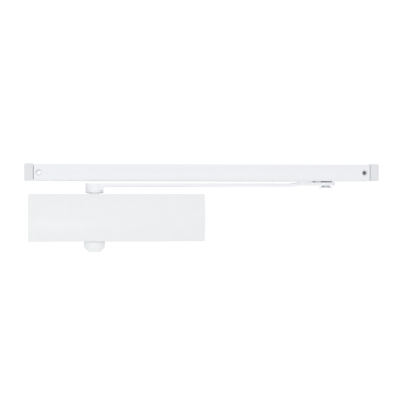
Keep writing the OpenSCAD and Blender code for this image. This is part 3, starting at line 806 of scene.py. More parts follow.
FINISHES = (
    Finish("cover_paint", (0.835, 0.85, 0.862), 0.42, Grain.SPRAYED, 0.006 * MM,
           coat=0.15, spread=0.006, worn=(0.9, 0.9, 0.9), wear=0.25, dust=0.05),
    Finish("arm_paint", (0.875, 0.89, 0.915), 0.4, Grain.SPRAYED, 0.006 * MM,
           coat=0.15, spread=0.006, worn=(0.78, 0.79, 0.8), wear=0.3, dust=0.05),
    Finish("rail_aluminium", (0.85, 0.865, 0.89), 0.42, Grain.EXTRUDED, 0.004 * MM,
           spread=0.01, worn=(0.93, 0.93, 0.93), wear=0.3, dust=0.06),
    Finish("cap_plastic", (0.86, 0.875, 0.885), 0.46, Grain.MOULDED, 0.004 * MM,
           spread=0.008, worn=(0.92, 0.92, 0.92), wear=0.15),
    Finish("end_cap_plastic", (0.755, 0.77, 0.79), 0.5, Grain.MOULDED, 0.005 * MM,
           spread=0.012, worn=(0.86, 0.86, 0.87), wear=0.2, dust=0.06),
    # shoe_plastic: base colour raised to 0.95 as painted light, brightening the shoe where it sits in shade between
    # the rail and the arm
    Finish("shoe_plastic", (0.95, 0.95, 0.95), 0.5, Grain.MOULDED, 0.004 * MM, spread=0.015),
    Finish("cast_body", (0.5, 0.51, 0.52), 0.5, Grain.CAST, 0.05 * MM, metallic=0.85,
           spread=0.05, worn=(0.8, 0.81, 0.82), wear=0.5),
    Finish("plug_steel", (0.5, 0.5, 0.49), 0.34, Grain.TURNED_X, 0.004 * MM, metallic=1.0,
           spread=0.05, worn=(0.8, 0.8, 0.8), wear=0.4),
    Finish("gland_steel", (0.42, 0.42, 0.43), 0.36, Grain.TURNED_Z, 0.004 * MM, metallic=1.0,
           spread=0.05, worn=(0.75, 0.75, 0.75), wear=0.4),
    Finish("bearing_steel", (0.6, 0.61, 0.62), 0.2, Grain.TURNED_Z, 0.002 * MM, metallic=1.0),
    Finish("spindle_steel", (0.88, 0.885, 0.89), 0.16, Grain.TURNED_Z, 0.003 * MM,
           metallic=1.0, worn=(0.85, 0.85, 0.85), wear=0.3),
    Finish("piston_iron", (0.2, 0.2, 0.21), 0.42, Grain.TURNED_X, 0.004 * MM, metallic=0.9,
           worn=(0.6, 0.6, 0.6), wear=0.4),
    Finish("ball_steel", (0.7, 0.7, 0.71), 0.12, Grain.MOULDED, 0.001 * MM, metallic=1.0),
    Finish("spring_steel", (0.12, 0.13, 0.15), 0.38, Grain.ROLLED, 0.004 * MM, metallic=0.9),
    Finish("clip_steel", (0.52, 0.53, 0.54), 0.32, Grain.ROLLED, 0.003 * MM, metallic=1.0,
           worn=(0.8, 0.8, 0.8), wear=0.3),
    Finish("screw_steel", (0.6, 0.6, 0.58), 0.3, Grain.TURNED_Z, 0.003 * MM, metallic=1.0,
           worn=(0.85, 0.85, 0.85), wear=0.4),
    Finish("pin_steel", (0.8, 0.825, 0.845), 0.3, Grain.TURNED_Z, 0.002 * MM, metallic=1.0,
           worn=(0.88, 0.88, 0.88), wear=0.3),
    # washer_steel: base colour darkened to 0.3 as painted shade, for the shade between the arm and the rail
    Finish("washer_steel", (0.3, 0.31, 0.33), 0.12, Grain.TURNED_Z, 0.002 * MM, metallic=1.0,
           worn=(0.7, 0.7, 0.7), wear=0.2),
    Finish("brass", (0.63, 0.42, 0.15), 0.26, Grain.TURNED_X, 0.003 * MM, metallic=1.0,
           worn=(0.9, 0.75, 0.4), wear=0.3),
    Finish("seal_rubber", (0.018, 0.018, 0.019), 0.6, Grain.MOULDED, 0.006 * MM, spread=0.1),
)


class Wardrobe:
    """The built material of every slot, and the dressing of pieces with them."""

    def __init__(self, finishes: Iterable[Finish]) -> None:
        """Builds every finish once."""
        groups = FinishGroups()
        self.materials = {finish.slot: finish.build(groups) for finish in finishes}

    def dress_cad_nodes(self) -> None:
        """Gives every CAD node that still shows its slot's material."""
        for entry in frame["record"]["subparts"]:
            node = frame["nodes"][entry["node"]]
            if node.hide_render:
                continue
            node.data.materials.clear()
            node.data.materials.append(self.materials[entry["material_slot"]])
            LOG.info("%s keeps its shape, in %s", entry["node"], entry["material_slot"])

    def hand_over(
        self, piece: bpy.types.Object, body: str, slot: str, *nodes: str
    ) -> bpy.types.Object:
        """Dresses a finished piece, puts it on its body and hides the nodes it stands for.

        Args:
            piece: The finished piece.
            body: Name of the body that it moves with.
            slot: Material slot that it takes its finish from.
            nodes: CAD nodes that it stands for.

        Returns:
            The piece.
        """
        piece.data.materials.clear()
        piece.data.materials.append(self.materials[slot])
        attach(piece, body)
        if nodes:
            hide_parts(*nodes)
        LOG.info("%s rides on %s, in %s", piece.name, body, slot)
        return piece


# --------------------------------------------------------------------------------------
# Sub-assemblies


@dataclass
class Cover:
    """The crowned shell that clips over the body.

    Attributes:
        wall: Thickness of the wall.
        crown: Rise of the front's middle over its long edges.
        edge: Radius of the outer edges.
        notch: Radius of the notches that the spindle and its cap pass through.
        gusset: Reach of the gussets inside the long corners.
    """

    wall: float = 2.0 * MM
    crown: float = 10.0 * MM
    edge: float = 1.0 * MM
    notch: float = 11.5 * MM
    gusset: float = 5.0 * MM
    box: Extent = field(default_factory=lambda: Extent.of("cover"))

    @property
    def crown_radius(self) -> float:
        """Radius of the crowned front."""
        half = self.box.high.z
        return (half * half + self.crown * self.crown) / (2 * self.crown)

    def outline(self, inset: float, back: float) -> list[Point]:
        """The section across the length, inset by a wall, with its back edge at back."""
        half = self.box.high.z
        radius = self.crown_radius
        middle = self.box.low.y + radius
        radius -= inset
        half -= inset
        lean = math.asin(half / radius)
        front = arc((middle, 0.0), radius, math.pi + lean, math.pi - lean, 56)
        round_edge = 1.2 * self.edge if inset == 0 else 0.6 * MM
        corners = [(back, -half, 0.0), (*front[0], round_edge)]
        corners += [(*p, 0.0) for p in front[2:-2]]
        corners += [(*front[-1], round_edge), (back, half, 0.0)]
        return rounded(corners)

    def shell(self) -> bpy.types.Object:
        """The shell itself, hollow and open at the back, with both notches."""
        low, high = self.box.low, self.box.high
        shell = prism("cover_shell", self.outline(0.0, high.y), Axis.X, low.x, high.x, self.edge)
        hollow = prism(
            "hollow",
            self.outline(self.wall, high.y + self.wall),
            Axis.X,
            low.x + self.wall,
            high.x - self.wall,
            0.4 * MM,
        )
        spindle = spindle_axis()
        front = arc((spindle.x, spindle.y), self.notch, math.pi, TURN, 32)
        slot = [*front, (spindle.x + self.notch, 0.01), (spindle.x - self.notch, 0.01)]
        reach = high.z + self.wall
        notches = prism("notches", slot, Axis.Z, -reach, reach)
        combined(shell, [hollow, notches], Cut.AWAY)
        return eased(shell, 0.25 * MM, 60.0)

    def gussets(self, row: bpy.types.NodeTree, finish: bpy.types.Material) -> bpy.types.Object:
        """Rows of small gussets in both long corners, clear of the clips and the spindle."""
        low, high = self.box.low, self.box.high
        top = high.z - self.wall
        edge_y = low.y + self.crown
        thick = 1.2 * MM
        step = 14.0 * MM
        stretches = ((low.x + 20 * MM, -22 * MM), (22 * MM, high.x - 20 * MM))
        made = []
        for side in (1, -1):
            corner = [
                (edge_y, side * (top + 0.1 * MM)),
                (edge_y + self.gusset, side * (top + 0.1 * MM)),
                (edge_y - self.gusset * 0.2, side * (top - self.gusset)),
                (edge_y - self.gusset * 0.6, side * (top - self.gusset)),
            ]
            for first, last in stretches:
                plate = prism("gusset", corner, Axis.X, first, first + thick, 0.2 * MM, 2)
                count = int((last - first) / step) + 1
                grown(plate, row, count=count, step=(step, 0.0, 0.0), material=finish)
                made.append(plate)
        return joined("cover_gussets", made)

    def build(self, wardrobe: Wardrobe, row: bpy.types.NodeTree) -> None:
        """Builds the cover's pieces and hands them over."""
        wardrobe.hand_over(self.shell(), "cover", "cover_paint", "cover")
        gussets = self.gussets(row, wardrobe.materials["cover_paint"])
        wardrobe.hand_over(gussets, "cover", "cover_paint")


def joined(name: str, pieces: Sequence[bpy.types.Object]) -> bpy.types.Object:
    """Puts the meshes of several objects into one object, and removes them."""
    shape = bmesh.new()
    for piece in pieces:
        shape.from_mesh(piece.data)
        bpy.data.objects.remove(piece)
    return mesh_object(name, shape)


@dataclass
class Rail:
    """The slotted rail and its two end caps.

    Attributes:
        wall: Wall of the profile.
        slot: Width of the slot under the profile.
        front_edge: Radius of the profile's front edges.
        hole: Radius of the screw holes.
        sink: Radius of the countersinks at the front.
        hole_in: Distance from the end of the profile to its hole.
    """

    wall: float = 2.2 * MM
    slot: float = 11.4 * MM
    front_edge: float = 0.8 * MM
    hole: float = 2.7 * MM
    sink: float = 4.9 * MM
    hole_in: float = 6.5 * MM
    box: Extent = field(default_factory=lambda: Extent.of("rail"))

    def section(self) -> list[Point]:
        """The closed outline of the slotted profile, in depth and height."""
        low, high, wall = self.box.low, self.box.high, self.wall
        middle = (low.y + high.y) / 2
        slot_front = middle - self.slot / 2
        slot_back = middle + self.slot / 2
        soft = 0.3 * MM
        return rounded(
            [
                (slot_front, low.z, soft),
                (low.y, low.z, self.front_edge),
                (low.y, high.z, self.front_edge),
                (high.y, high.z, soft),
                (high.y, low.z, soft),
                (slot_back, low.z, soft),
                (slot_back, low.z + wall, soft),
                (high.y - wall, low.z + wall, soft),
                (high.y - wall, high.z - wall, soft),
                (low.y + wall, high.z - wall, soft),
                (low.y + wall, low.z + wall, soft),
                (slot_front, low.z + wall, soft),
            ]
        )

    def profile(self, draw: bpy.types.NodeTree, finish: bpy.types.Material) -> bpy.types.Object:
        """The profile, drawn from its section, with its two countersunk screw holes."""
        low, high = self.box.low, self.box.high
        shape = bmesh.new()
        shape.faces.new([shape.verts.new(Axis.X.point(p, low.x)) for p in self.section()])
        profile = mesh_object("rail_profile", shape)
        if profile.data.polygons[0].normal.x < 0:
            profile.data.flip_normals()
        grown(profile, draw, way=(high.x - low.x, 0.0, 0.0), material=finish)
        profile = outward(profile)
        drills = [self.drill(low.x + self.hole_in), self.drill(high.x - self.hole_in)]
        combined(profile, drills, Cut.AWAY)
        return eased(profile, 0.14 * MM, 34.0)

    def drill(self, x: float) -> bpy.types.Object:
        """The shape of one countersunk screw hole, right through the rail."""
        low, high = self.box.low, self.box.high
        past = 1.0 * MM
        front = low.y
        shape = [
            (0.0, front - past),
            (self.sink + past, front - past),
            (self.hole, front + self.sink - self.hole),
            (self.hole, high.y + past),
            (0.0, high.y + past),
        ]
        centre = Vector((x, 0.0, self.box.centre.z))
        return turned("drill", shape, centre, Axis.Y, 64)

    def cap(self, node: str, side: int) -> bpy.types.Object:
        """One moulded end cap: a proud outer block, and a plain tongue inside the profile.

        Args:
            node: The CAD node that it stands for.
            side: -1 for the cap at the low end, 1 for the other.

        Returns:
            The cap.
        """
        box = Extent.of(node)
        outer = box.low.x if side < 0 else box.high.x
        block = 11.2 * MM
        inner = outer - side * block
        corner = 1.2 * MM
        soft = 0.5 * MM
        low_z = box.low.z
        high_z = box.high.z
        body = prism(
            node + "_block",
            rounded(
                [
                    (outer, low_z, soft),
                    (inner, low_z, soft),
                    (inner, high_z, soft),
                    (outer - side * corner, high_z, soft),
                    (outer, high_z - corner, soft),
                ]
            ),
            Axis.Y,
            box.low.y,
            box.high.y,
            0.8 * soft,
        )
        tongue_end = box.high.x if side < 0 else box.low.x
        gap = self.wall + 0.15 * MM
        tongue = prism(
            "tongue",
            rounded(
                [
                    (self.box.low.y + gap, self.box.low.z + gap, soft),
                    (self.box.high.y - gap, self.box.low.z + gap, soft),
                    (self.box.high.y - gap, self.box.high.z - gap, soft),
                    (self.box.low.y + gap, self.box.high.z - gap, soft),
                ]
            ),
            Axis.X,
            min(inner + side * MM, tongue_end),
            max(inner + side * MM, tongue_end),
            0.8 * soft,
        )
        combined(body, [tongue], Cut.TOGETHER)
        hole_x = self.box.low.x + self.hole_in if side < 0 else self.box.high.x - self.hole_in
        pocket_depth = 7.0 * MM
        pocket = prism(
            "pocket",
            rounded(
                [
                    (self.box.low.y + 8 * MM, self.box.centre.z - 5 * MM, soft),
                    (self.box.high.y - 8 * MM, self.box.centre.z - 5 * MM, soft),
                    (self.box.high.y - 8 * MM, self.box.centre.z + 5 * MM, soft),
                    (self.box.low.y + 8 * MM, self.box.centre.z + 5 * MM, soft),
                ]
            ),
            Axis.X,
            min(tongue_end + side * pocket_depth * 0.45, tongue_end - side * MM),
            max(tongue_end + side * pocket_depth * 0.45, tongue_end - side * MM),
        )
        bore = prism(
            "bore",
            arc((hole_x, self.box.centre.z), self.hole, 0, TURN * 47 / 48, 47),
            Axis.Y,
            box.low.y - MM,
            box.high.y + MM,
        )
        combined(body, [pocket, bore], Cut.AWAY)
        return eased(body, 0.15 * MM, 60.0)

    def build(self, wardrobe: Wardrobe, draw: bpy.types.NodeTree) -> None:
        """Builds the rail's pieces and hands them over."""
        profile = self.profile(draw, wardrobe.materials["rail_aluminium"])
        wardrobe.hand_over(profile, "rail", "rail_aluminium", "rail")
        for node, side in (("rail_cap_left", -1), ("rail_cap_right", 1)):
            wardrobe.hand_over(self.cap(node, side), "rail", "end_cap_plastic", node)


def outward(piece: bpy.types.Object) -> bpy.types.Object:
    """Merges a piece's doubles and turns all of its faces outwards."""
    shape = bmesh.new()
    shape.from_mesh(piece.data)
    bmesh.ops.remove_doubles(shape, verts=shape.verts, dist=1e-6)
    bmesh.ops.recalc_face_normals(shape, faces=shape.faces)
    shape.to_mesh(piece.data)
    shape.free()
    return piece


@dataclass
class Arm:
    """The arm with its hub, screw and sliding joint.

    Attributes:
        thick: Thickness of the bar.
        width: Width of the bar between its round ends.
        hub: Radius of the hub.
        end: Radius of the far end.
        fillet: Radius under the bar where it leaves the hub.
        edge: Radius of the bar's edges.
        step_from: Distance from the far end's axis to the start of the step up.
        step_long: Length of the step.
    """

    thick: float = 4.5 * MM
    width: float = 20.0 * MM
    hub: float = 11.5 * MM
    end: float = 12.3 * MM
    fillet: float = 5.0 * MM
    edge: float = 0.9 * MM
    step_from: float = 52.0 * MM
    step_long: float = 22.0 * MM
    box: Extent = field(default_factory=lambda: Extent.of("arm"))

    def __post_init__(self) -> None:
        """Finds both axes of the arm and its levels in the frame."""
        spindle = spindle_axis()
        pin = Extent.of("slider_pin").centre
        way = Vector((pin.x - spindle.x, pin.y - spindle.y, 0.0))
        self.length = way.length
        self.place = Matrix.Translation((spindle.x, spindle.y, 0.0)) @ Matrix.Rotation(
            math.atan2(way.y, way.x), 4, "Z"
        )
        self.pin = Vector((pin.x, pin.y, 0.0))
        self.hub_top = Extent.of("arm_screw").high.z + 0.1 * MM
        self.rise = self.box.high.z - self.hub_top

    def top_at(self, x: float) -> float:
        """Height of the bar's top at a distance from the hub's axis."""
        start = self.length - self.step_from
        share = min(1.0, max(0.0, (x - start) / self.step_long))
        return self.hub_top + self.rise * (1 - math.cos(math.pi * share)) / 2

    def bottom_at(self, x: float) -> float:
        """Height of the bar's underside, with the fillet at the hub."""
        level = self.top_at(x) - self.thick
        reach = self.hub - MM + self.fillet - x
        if reach <= 0:
            return level
        reach = min(reach, self.fillet)
        return level - self.fillet + math.sqrt(self.fillet**2 - reach**2)

    def half_width_at(self, x: float) -> float:
        """Half the bar's width, which widens softly into the round far end."""
        bar = self.width / 2
        past = x - self.length
        if past >= 0:
            return math.sqrt(max(0.0, self.end**2 - past**2))
        blend_long = 26.0 * MM
        share = max(0.0, 1 + past / blend_long)
        share = share * share * (3 - 2 * share)
        return bar + (self.end - bar) * share

    def bar(self) -> bpy.types.Object:
        """The bar from inside the hub to the round far end, with rounded long edges."""
        fine_hub = [self.hub - MM + self.fillet * i / 10 for i in range(11)]
        step_start = self.length - self.step_from
        fine_step = [step_start + self.step_long * i / 14 for i in range(15)]
        blend = [self.length - 26 * MM + 26 * MM * i / 10 for i in range(11)]
        tip = [self.length + self.end * math.sin(QUARTER * i / 18) for i in range(1, 18)]
        start = 2.3 * MM
        long_stretch = [30 * MM + 24 * MM * i for i in range(9)]
        stations = sorted({round(x, 7) for x in [start, *fine_hub, *fine_step, *blend, *tip, *long_stretch]})
        near = [(x, -self.half_width_at(x)) for x in stations]
        plan = [*near, (self.length + self.end, 0.0), *((x, -y) for x, y in reversed(near))]
        turns = [QUARTER * i / 4 for i in range(5)]
        shape = bmesh.new()
        rows = []
        for upper in (False, True):
            for turn in reversed(turns) if upper else turns:
                lift = self.edge * (1 - math.cos(turn))
                row = []
                for x, y in inset_outline(plan, self.edge * (1 - math.sin(turn)) + 1e-6):
                    z = self.top_at(x) - lift if upper else self.bottom_at(x) + lift
                    row.append(shape.verts.new(self.place @ Vector((x, y, z))))
                rows.append(row)
        count = len(plan)
        for lower, upper in zip(rows, rows[1:]):
            for i in range(count):
                j = (i + 1) % count
                shape.faces.new((lower[i], lower[j], upper[j], upper[i]))
        for row in (rows[0], rows[-1]):
            for i in range(len(stations) - 1):
                shape.faces.new((row[i], row[i + 1], row[count - 2 - i], row[count - 1 - i]))
            tip_at = len(stations)
            shape.faces.new((row[tip_at - 1], row[tip_at], row[tip_at + 1]))
        return mesh_object("arm_bar", shape)

    def forging(self) -> bpy.types.Object:
        """The hub and bar as one piece, with the screw's countersink and the pin's hole."""
        low = self.box.low.z
        centre = self.place.translation.copy()
        chamfer = 0.7 * MM
        hub = turned(
            "arm_forging",
            solid_of(
                [
                    (self.hub - chamfer, low, 0.3 * MM),
                    (self.hub, low + chamfer, 0.3 * MM),
                    (self.hub, self.hub_top - 0.6 * MM, 0.3 * MM),
                    (self.hub - 0.6 * MM, self.hub_top, 0.3 * MM),
                ]
            ),
            centre,
        )
        combined(hub, [self.bar()], Cut.TOGETHER)
        screw = Extent.of("arm_screw")
        head = screw.size.x / 2 + 0.2 * MM
        shank = 3.2 * MM
        sink = turned(
            "sink",
            [
                (0.0, low - MM),
                (shank, low - MM),
                (shank, self.hub_top - head + shank),
                (head + MM, self.hub_top + MM),
                (0.0, self.hub_top + MM),
            ],
            centre,
        )
        socket_half = 5.1 * MM
        square = [(socket_half, socket_half), (-socket_half, socket_half)]
        square += [(-x, -y) for x, y in square]
        socket = prism("socket", square, Axis.Z, low - MM, low + 8.3 * MM)
        socket.data.transform(self.place)
        eye = turned(
            "eye",
            [(0.0, 0.0), (5.02 * MM, 0.0), (5.02 * MM, self.box.high.z + MM), (0.0, self.box.high.z + MM)],
            self.pin,
        )
        combined(hub, [socket, sink, eye], Cut.AWAY)
        return eased(hub, 0.25 * MM, 55.0)

    def screw(self) -> bpy.types.Object:
        """The countersunk screw in the hub, with a hexagon socket."""
        box = Extent.of("arm_screw")
        top = box.high.z
        head = box.size.x / 2
        shank = 3.0 * MM
        screw = turned(
            "arm_screw_body",
            solid_of(
                [
                    (shank - 0.5 * MM, box.low.z, 0.1 * MM),
                    (shank, box.low.z + 0.5 * MM, 0.1 * MM),
                    (shank, top - (head - shank), 0.3 * MM),
                    (head, top - 0.15 * MM, 0.1 * MM),
                    (head - 0.15 * MM, top, 0.1 * MM),
                ]
            ),
            Vector((box.centre.x, box.centre.y, 0.0)),
        )
        flats = 2.31 * MM
        hexagon = [
            (box.centre.x + flats * math.cos(TURN * i / 6), box.centre.y + flats * math.sin(TURN * i / 6))
            for i in range(6)
        ]
        combined(screw, [prism("key", hexagon, Axis.Z, top - 2.6 * MM, top + MM)], Cut.AWAY)
        return eased(screw, 0.08 * MM, 55.0)

    def pin_body(self) -> bpy.types.Object:
        """The pin of the sliding joint: a broad bright head, and a shank with its groove."""
        box = Extent.of("slider_pin")
        clip = Extent.of("pin_circlip")
        head = box.size.x / 2
        shank = 5.0 * MM
        groove = 4.2 * MM
        head_top = box.low.z + 1.2 * MM
        soft = 0.35 * MM
        pin = turned(
            "slider_pin_body",
            solid_of(
                [
                    (head, box.low.z, soft),
                    (head, head_top, soft),
                    (shank, head_top, 0.2 * MM),
                    (shank, clip.low.z, 0.0),
                    (groove, clip.low.z, 0.0),
                    (groove, clip.high.z, 0.0),
                    (shank, clip.high.z, 0.0),
                    (shank, box.high.z - 0.6 * MM, 0.1 * MM),
                    (shank - 0.6 * MM, box.high.z, 0.1 * MM),
                ]
            ),
            self.pin,
        )
        hexagon = [
            (self.pin.x + 2.9 * MM * math.cos(TURN * i / 6), self.pin.y + 2.9 * MM * math.sin(TURN * i / 6))
            for i in range(6)
        ]
        combined(pin, [prism("key", hexagon, Axis.Z, box.low.z - MM, box.low.z + 2.4 * MM)], Cut.AWAY)
        return eased(pin, 0.1 * MM, 60.0)

    def washer(self) -> bpy.types.Object:
        """The polished flat washer between the arm and the rail."""
        box = Extent.of("slider_washer")
        outer = box.size.x / 2
        soft = 0.25 * MM
        section = bored([(outer, box.low.z, soft), (outer, box.high.z, soft)], 5.05 * MM)
        return turned("slider_washer_ring", section, self.pin)

    def bowed(self) -> bpy.types.Object:
        """The spring washer, bent so that its middle stands higher than its two sides."""
        box = Extent.of("bowed_washer")
        outer = box.size.x / 2
        thick = 0.5 * MM
        bow = box.size.z - thick
        soft = 0.12 * MM
        top = box.high.z
        section = bored([(outer, top - thick, soft), (outer, top, soft)], 5.3 * MM)
        ring = turned("bowed_washer_ring", section, self.pin)
        turn = self.place.to_3x3().inverted()
        radius = (outer * outer + bow * bow) / (2 * bow)
        for vertex in ring.data.vertices:
            across = (turn @ (vertex.co - self.pin)).x
            vertex.co.z -= radius - math.sqrt(radius * radius - across * across)
        return ring

    def build(self, wardrobe: Wardrobe) -> None:
        """Builds the arm's pieces and hands them over."""
        body = "spindle_and_arm"
        wardrobe.hand_over(self.forging(), body, "arm_paint", "arm")
        wardrobe.hand_over(self.screw(), body, "screw_steel", "arm_screw")
        wardrobe.hand_over(self.pin_body(), body, "pin_steel", "slider_pin")
        wardrobe.hand_over(self.washer(), body, "washer_steel", "slider_washer")
        wardrobe.hand_over(self.bowed(), body, "pin_steel", "bowed_washer")


@dataclass
class Shoe:
    """The moulded shoe that slides in the rail.

    Attributes:
        lead: Length of the narrowed ends.
        edge: Radius of the edges.
        groove: Depth of the oil grooves across both sides.
        lip_long: Length of the lip that guides the shoe under the rail.
        lip_wide: Width of that lip.
    """

    lead: float = 3.0 * MM
    edge: float = 0.5 * MM
    groove: float = 0.7 * MM
    lip_long: float = 7.2 * MM
    lip_wide: float = 25.0 * MM
    box: Extent = field(default_factory=lambda: Extent.of("slide_shoe"))

    def plan(self, back: float, front: float, half: float, lead: float) -> list[Point]:
        """Outline in plan between two places on X, with narrowed ends."""
        middle = self.box.centre.y
        soft = 0.6 * MM
        return rounded(
            [
                (back, middle - half + lead, soft),
                (back + lead, middle - half, soft),
                (front - lead, middle - half, soft),
                (front, middle - half + lead, soft),
                (front, middle + half - lead, soft),
                (front - lead, middle + half, soft),
                (back + lead, middle + half, soft),
                (back, middle + half - lead, soft),
            ]
        )

    def body(self, row: bpy.types.NodeTree, finish: bpy.types.Material) -> bpy.types.Object:
        """The shoe, with the neck that runs in the slot and grooves in both sides."""
        pin = Extent.of("slider_pin").centre
        washer = Extent.of("slider_washer")
        low, high = self.box.low, self.box.high
        block_z = Extent.of("rail").low.z + 2.45 * MM
        shoe = prism(
            "slide_shoe_body",
            self.plan(low.x, high.x, self.box.size.y / 2, self.lead),
            Axis.Z,
            block_z,
            high.z,
            self.edge,
        )
        neck = prism(
            "neck",
            self.plan(pin.x - 16.2 * MM, pin.x + 8.2 * MM, 5.3 * MM, 1.5 * MM),
            Axis.Z,
            low.z,
            block_z + MM,
            0.2 * MM,
        )
        lip_half = self.lip_wide / 2
        lip_back = pin.x - 16.2 * MM
        lip = prism(
            "lip",
            rounded(
                [
                    (lip_back, pin.y - lip_half, 0.5 * MM),
                    (lip_back + self.lip_long, pin.y - lip_half, 0.5 * MM),
                    (lip_back + self.lip_long, pin.y + lip_half, 0.5 * MM),
                    (lip_back, pin.y + lip_half, 0.5 * MM),
                ]
            ),
            Axis.Z,
            low.z,
            washer.high.z,
            0.15 * MM,
        )
        combined(shoe, [neck, lip], Cut.TOGETHER)
        centre = Vector((pin.x, pin.y, 0.0))
        relief = washer.size.x / 2 + 0.3 * MM
        ledge = washer.high.z + 0.2 * MM
        bore = turned(
            "bore",
            [
                (0.0, low.z - MM),
                (relief, low.z - MM),
                (relief, ledge),
                (5.05 * MM, ledge),
                (5.05 * MM, high.z - 6.5 * MM),
                (8.5 * MM, high.z - 6.5 * MM),
                (8.5 * MM, high.z + MM),
                (0.0, high.z + MM),
            ],
            centre,
        )
        cutters = [bore]
        for side in (-1, 1):
            face = self.box.centre.y + side * self.box.size.y / 2
            flute = prism(
                "flute",
                arc((low.x + 8 * MM, face), self.groove, 0, TURN * 15 / 16, 15),
                Axis.Z,
                block_z + 2 * MM,
                high.z - 2 * MM,
            )
            grown(flute, row, count=6, step=(5.6 * MM, 0.0, 0.0), material=finish)
            cutters.append(flute)
        combined(shoe, cutters, Cut.AWAY)
        return eased(shoe, 0.15 * MM, 60.0)

    def build(self, wardrobe: Wardrobe, row: bpy.types.NodeTree) -> None:
        """Builds the shoe and hands it over."""
        shoe = self.body(row, wardrobe.materials["shoe_plastic"])
        wardrobe.hand_over(shoe, "slide_shoe", "shoe_plastic", "slide_shoe")


@dataclass
class Body:
    """The casting under the cover, with its clips, screws, spindle cap and spring.

    Attributes:
        bore: Radius of the main bore.
        ear_thick: Thickness of the mounting ears.
        hole: Radius of the mounting holes.
        hole_rise: Half the height between the two rows of mounting holes.
        ear_long: Length of each ear.
        seat_part: Length of the part of the spring that gives way to its seat.
        crown_gap: Gap between the spindle's boss and the inside of the cover's crown.
    """

    bore: float = 17.0 * MM
    ear_thick: float = 8.0 * MM
    hole: float = 2.75 * MM
    hole_rise: float = 19.0 * MM
    ear_long: float = 14.0 * MM
    seat_part: float = 16.0 * MM
    crown_gap: float = 0.5 * MM
    box: Extent = field(default_factory=lambda: Extent.of("housing"))

    def __post_init__(self) -> None:
        """Finds the bore's axis and the ends of the barrel in the frame."""
        self.axis = spindle_axis()
        self.barrel = (self.box.low.x + self.ear_long, self.box.high.x - self.ear_long)
        self.holes = (
            self.box.low.x + self.ear_long / 2,
            self.box.high.x - self.ear_long / 2,
        )

    def rough_casting(self) -> bpy.types.Object:
        """The casting before it is machined, with soft fillets where its shapes meet."""
        axis, box = self.axis, self.box
        extra = 0.6 * MM
        radius = self.bore + 4.0 * MM
        first, last = self.barrel
        across = Vector((0.0, axis.y, 0.0))
        barrel = turned(
            "housing_casting",
            solid_of([(radius, first, 1.5 * MM), (radius, last, 1.5 * MM)]),
            across,
            Axis.X,
        )
        half = self.bore + 2.0 * MM
        block = prism(
            "block",
            rounded(
                [
                    (axis.y, -half, 0.0),
                    (extra, -half, 0.0),
                    (extra, half, 0.0),
                    (axis.y, half, 0.0),
                ]
            ),
            Axis.X,
            first,
            last,
        )
        boss_half = box.high.z
        boss = turned(
            "boss",
            solid_of([(16 * MM, -boss_half - extra, 0.0), (16 * MM, boss_half + extra, 0.0)]),
            Vector((axis.x, axis.y, 0.0)),
        )
        ear_half = boss_half - 1.5 * MM
        foot = prism(
            "foot",
            [(axis.x - 16 * MM, axis.y), (axis.x + 16 * MM, axis.y), (axis.x + 16 * MM, extra), (axis.x - 16 * MM, extra)],
            Axis.Z,
            -ear_half,
            ear_half,
        )
        plates = []
        for low, high in ((box.low.x, first + 4 * MM), (last - 4 * MM, box.high.x)):
            plates.append(
                prism(
                    "ear",
                    rounded(
                        [
                            (low, -ear_half, 3 * MM),
                            (high, -ear_half, 3 * MM),
                            (high, ear_half, 3 * MM),
                            (low, ear_half, 3 * MM),
                        ]
                    ),
                    Axis.Y,
                    -self.ear_thick,
                    extra,
                )
            )
        combined(barrel, [block, boss, foot, *plates], Cut.TOGETHER)
        cast = barrel.modifiers.new("cast", "REMESH")
        cast.mode = "VOXEL"
        cast.voxel_size = 1.0 * MM
        soften = barrel.modifiers.new("soften", "SMOOTH")
        soften.factor = 0.5
        soften.iterations = 6
        return applied(barrel)

    def machining(self) -> list[bpy.types.Object]:
        """The shapes of everything that is faced, bored or drilled in the casting."""
        axis, box = self.axis, self.box
        far = 40 * MM
        across = Vector((0.0, axis.y, 0.0))
        upright = Vector((axis.x, axis.y, 0.0))
        plain = [
            prism("back_cut", [(-1.0, 0.0), (1.0, 0.0), (1.0, far), (-1.0, far)], Axis.Z, -1.0, 1.0),
            turned(
                "bore",
                [(0.0, -1.0), (self.bore, -1.0), (self.bore, 1.0), (0.0, 1.0)],
                across,
                Axis.X,
            ),
        ]
        steps = ((9.9, 0.0), (11.0, 17.3), (12.0, 23.6))
        for side in (-1, 1):
            plain.append(
                turned(
                    "face",
                    [(0.0, side * box.high.z), (25 * MM, side * box.high.z), (25 * MM, side * far), (0.0, side * far)],
                    upright,
                )
            )
            profile = [(0.0, 0.0)]
            for radius, height in steps:
                profile.append((radius * MM, side * height * MM))
                later = [h for _, h in steps if h > height]
                profile.append((radius * MM, side * (later[0] * MM if later else far)))
            profile.append((0.0, side * far))
            plain.append(turned("boss_bore", profile, upright))
        valve = Extent.of("closing_speed_valve")
        deep = valve.size.x + 2 * MM
        valve_r = valve.size.y / 2 + 0.05 * MM
        for x, way, z in (
            (self.barrel[0], 1, valve.centre.z),
            (self.barrel[0], 1, -valve.centre.z),
            (self.barrel[1], -1, valve.centre.z),
        ):
            hole = [(0.0, x - way * far), (valve_r, x - way * far), (valve_r, x + way * deep), (0.0, x + way * deep)]
            if self._in_ear(x, way):
                hole = [(0.0, x - way * MM), (valve_r, x - way * MM), (valve_r, x + way * deep), (0.0, x + way * deep)]
            plain.append(turned("valve_hole", hole, Vector((0.0, valve.centre.y, z)), Axis.X, 48))
        for x in self.holes:
            for z in (-self.hole_rise, self.hole_rise):
                ring = arc((x, z), self.hole, 0, TURN * 47 / 48, 47)
                plain.append(prism("mounting_hole", ring, Axis.Y, -far, far))
            tapped = arc((x, 0.0), 1.5 * MM, 0, TURN * 31 / 32, 31)
            plain.append(prism("clip_hole", tapped, Axis.Y, -self.ear_thick - MM, -2 * MM))
        return plain

    def _in_ear(self, x: float, way: int) -> bool:
        """Whether a hole along X that starts at an end of the barrel would cut an ear."""
        return self.box.low.x < x - way * MM < self.box.high.x

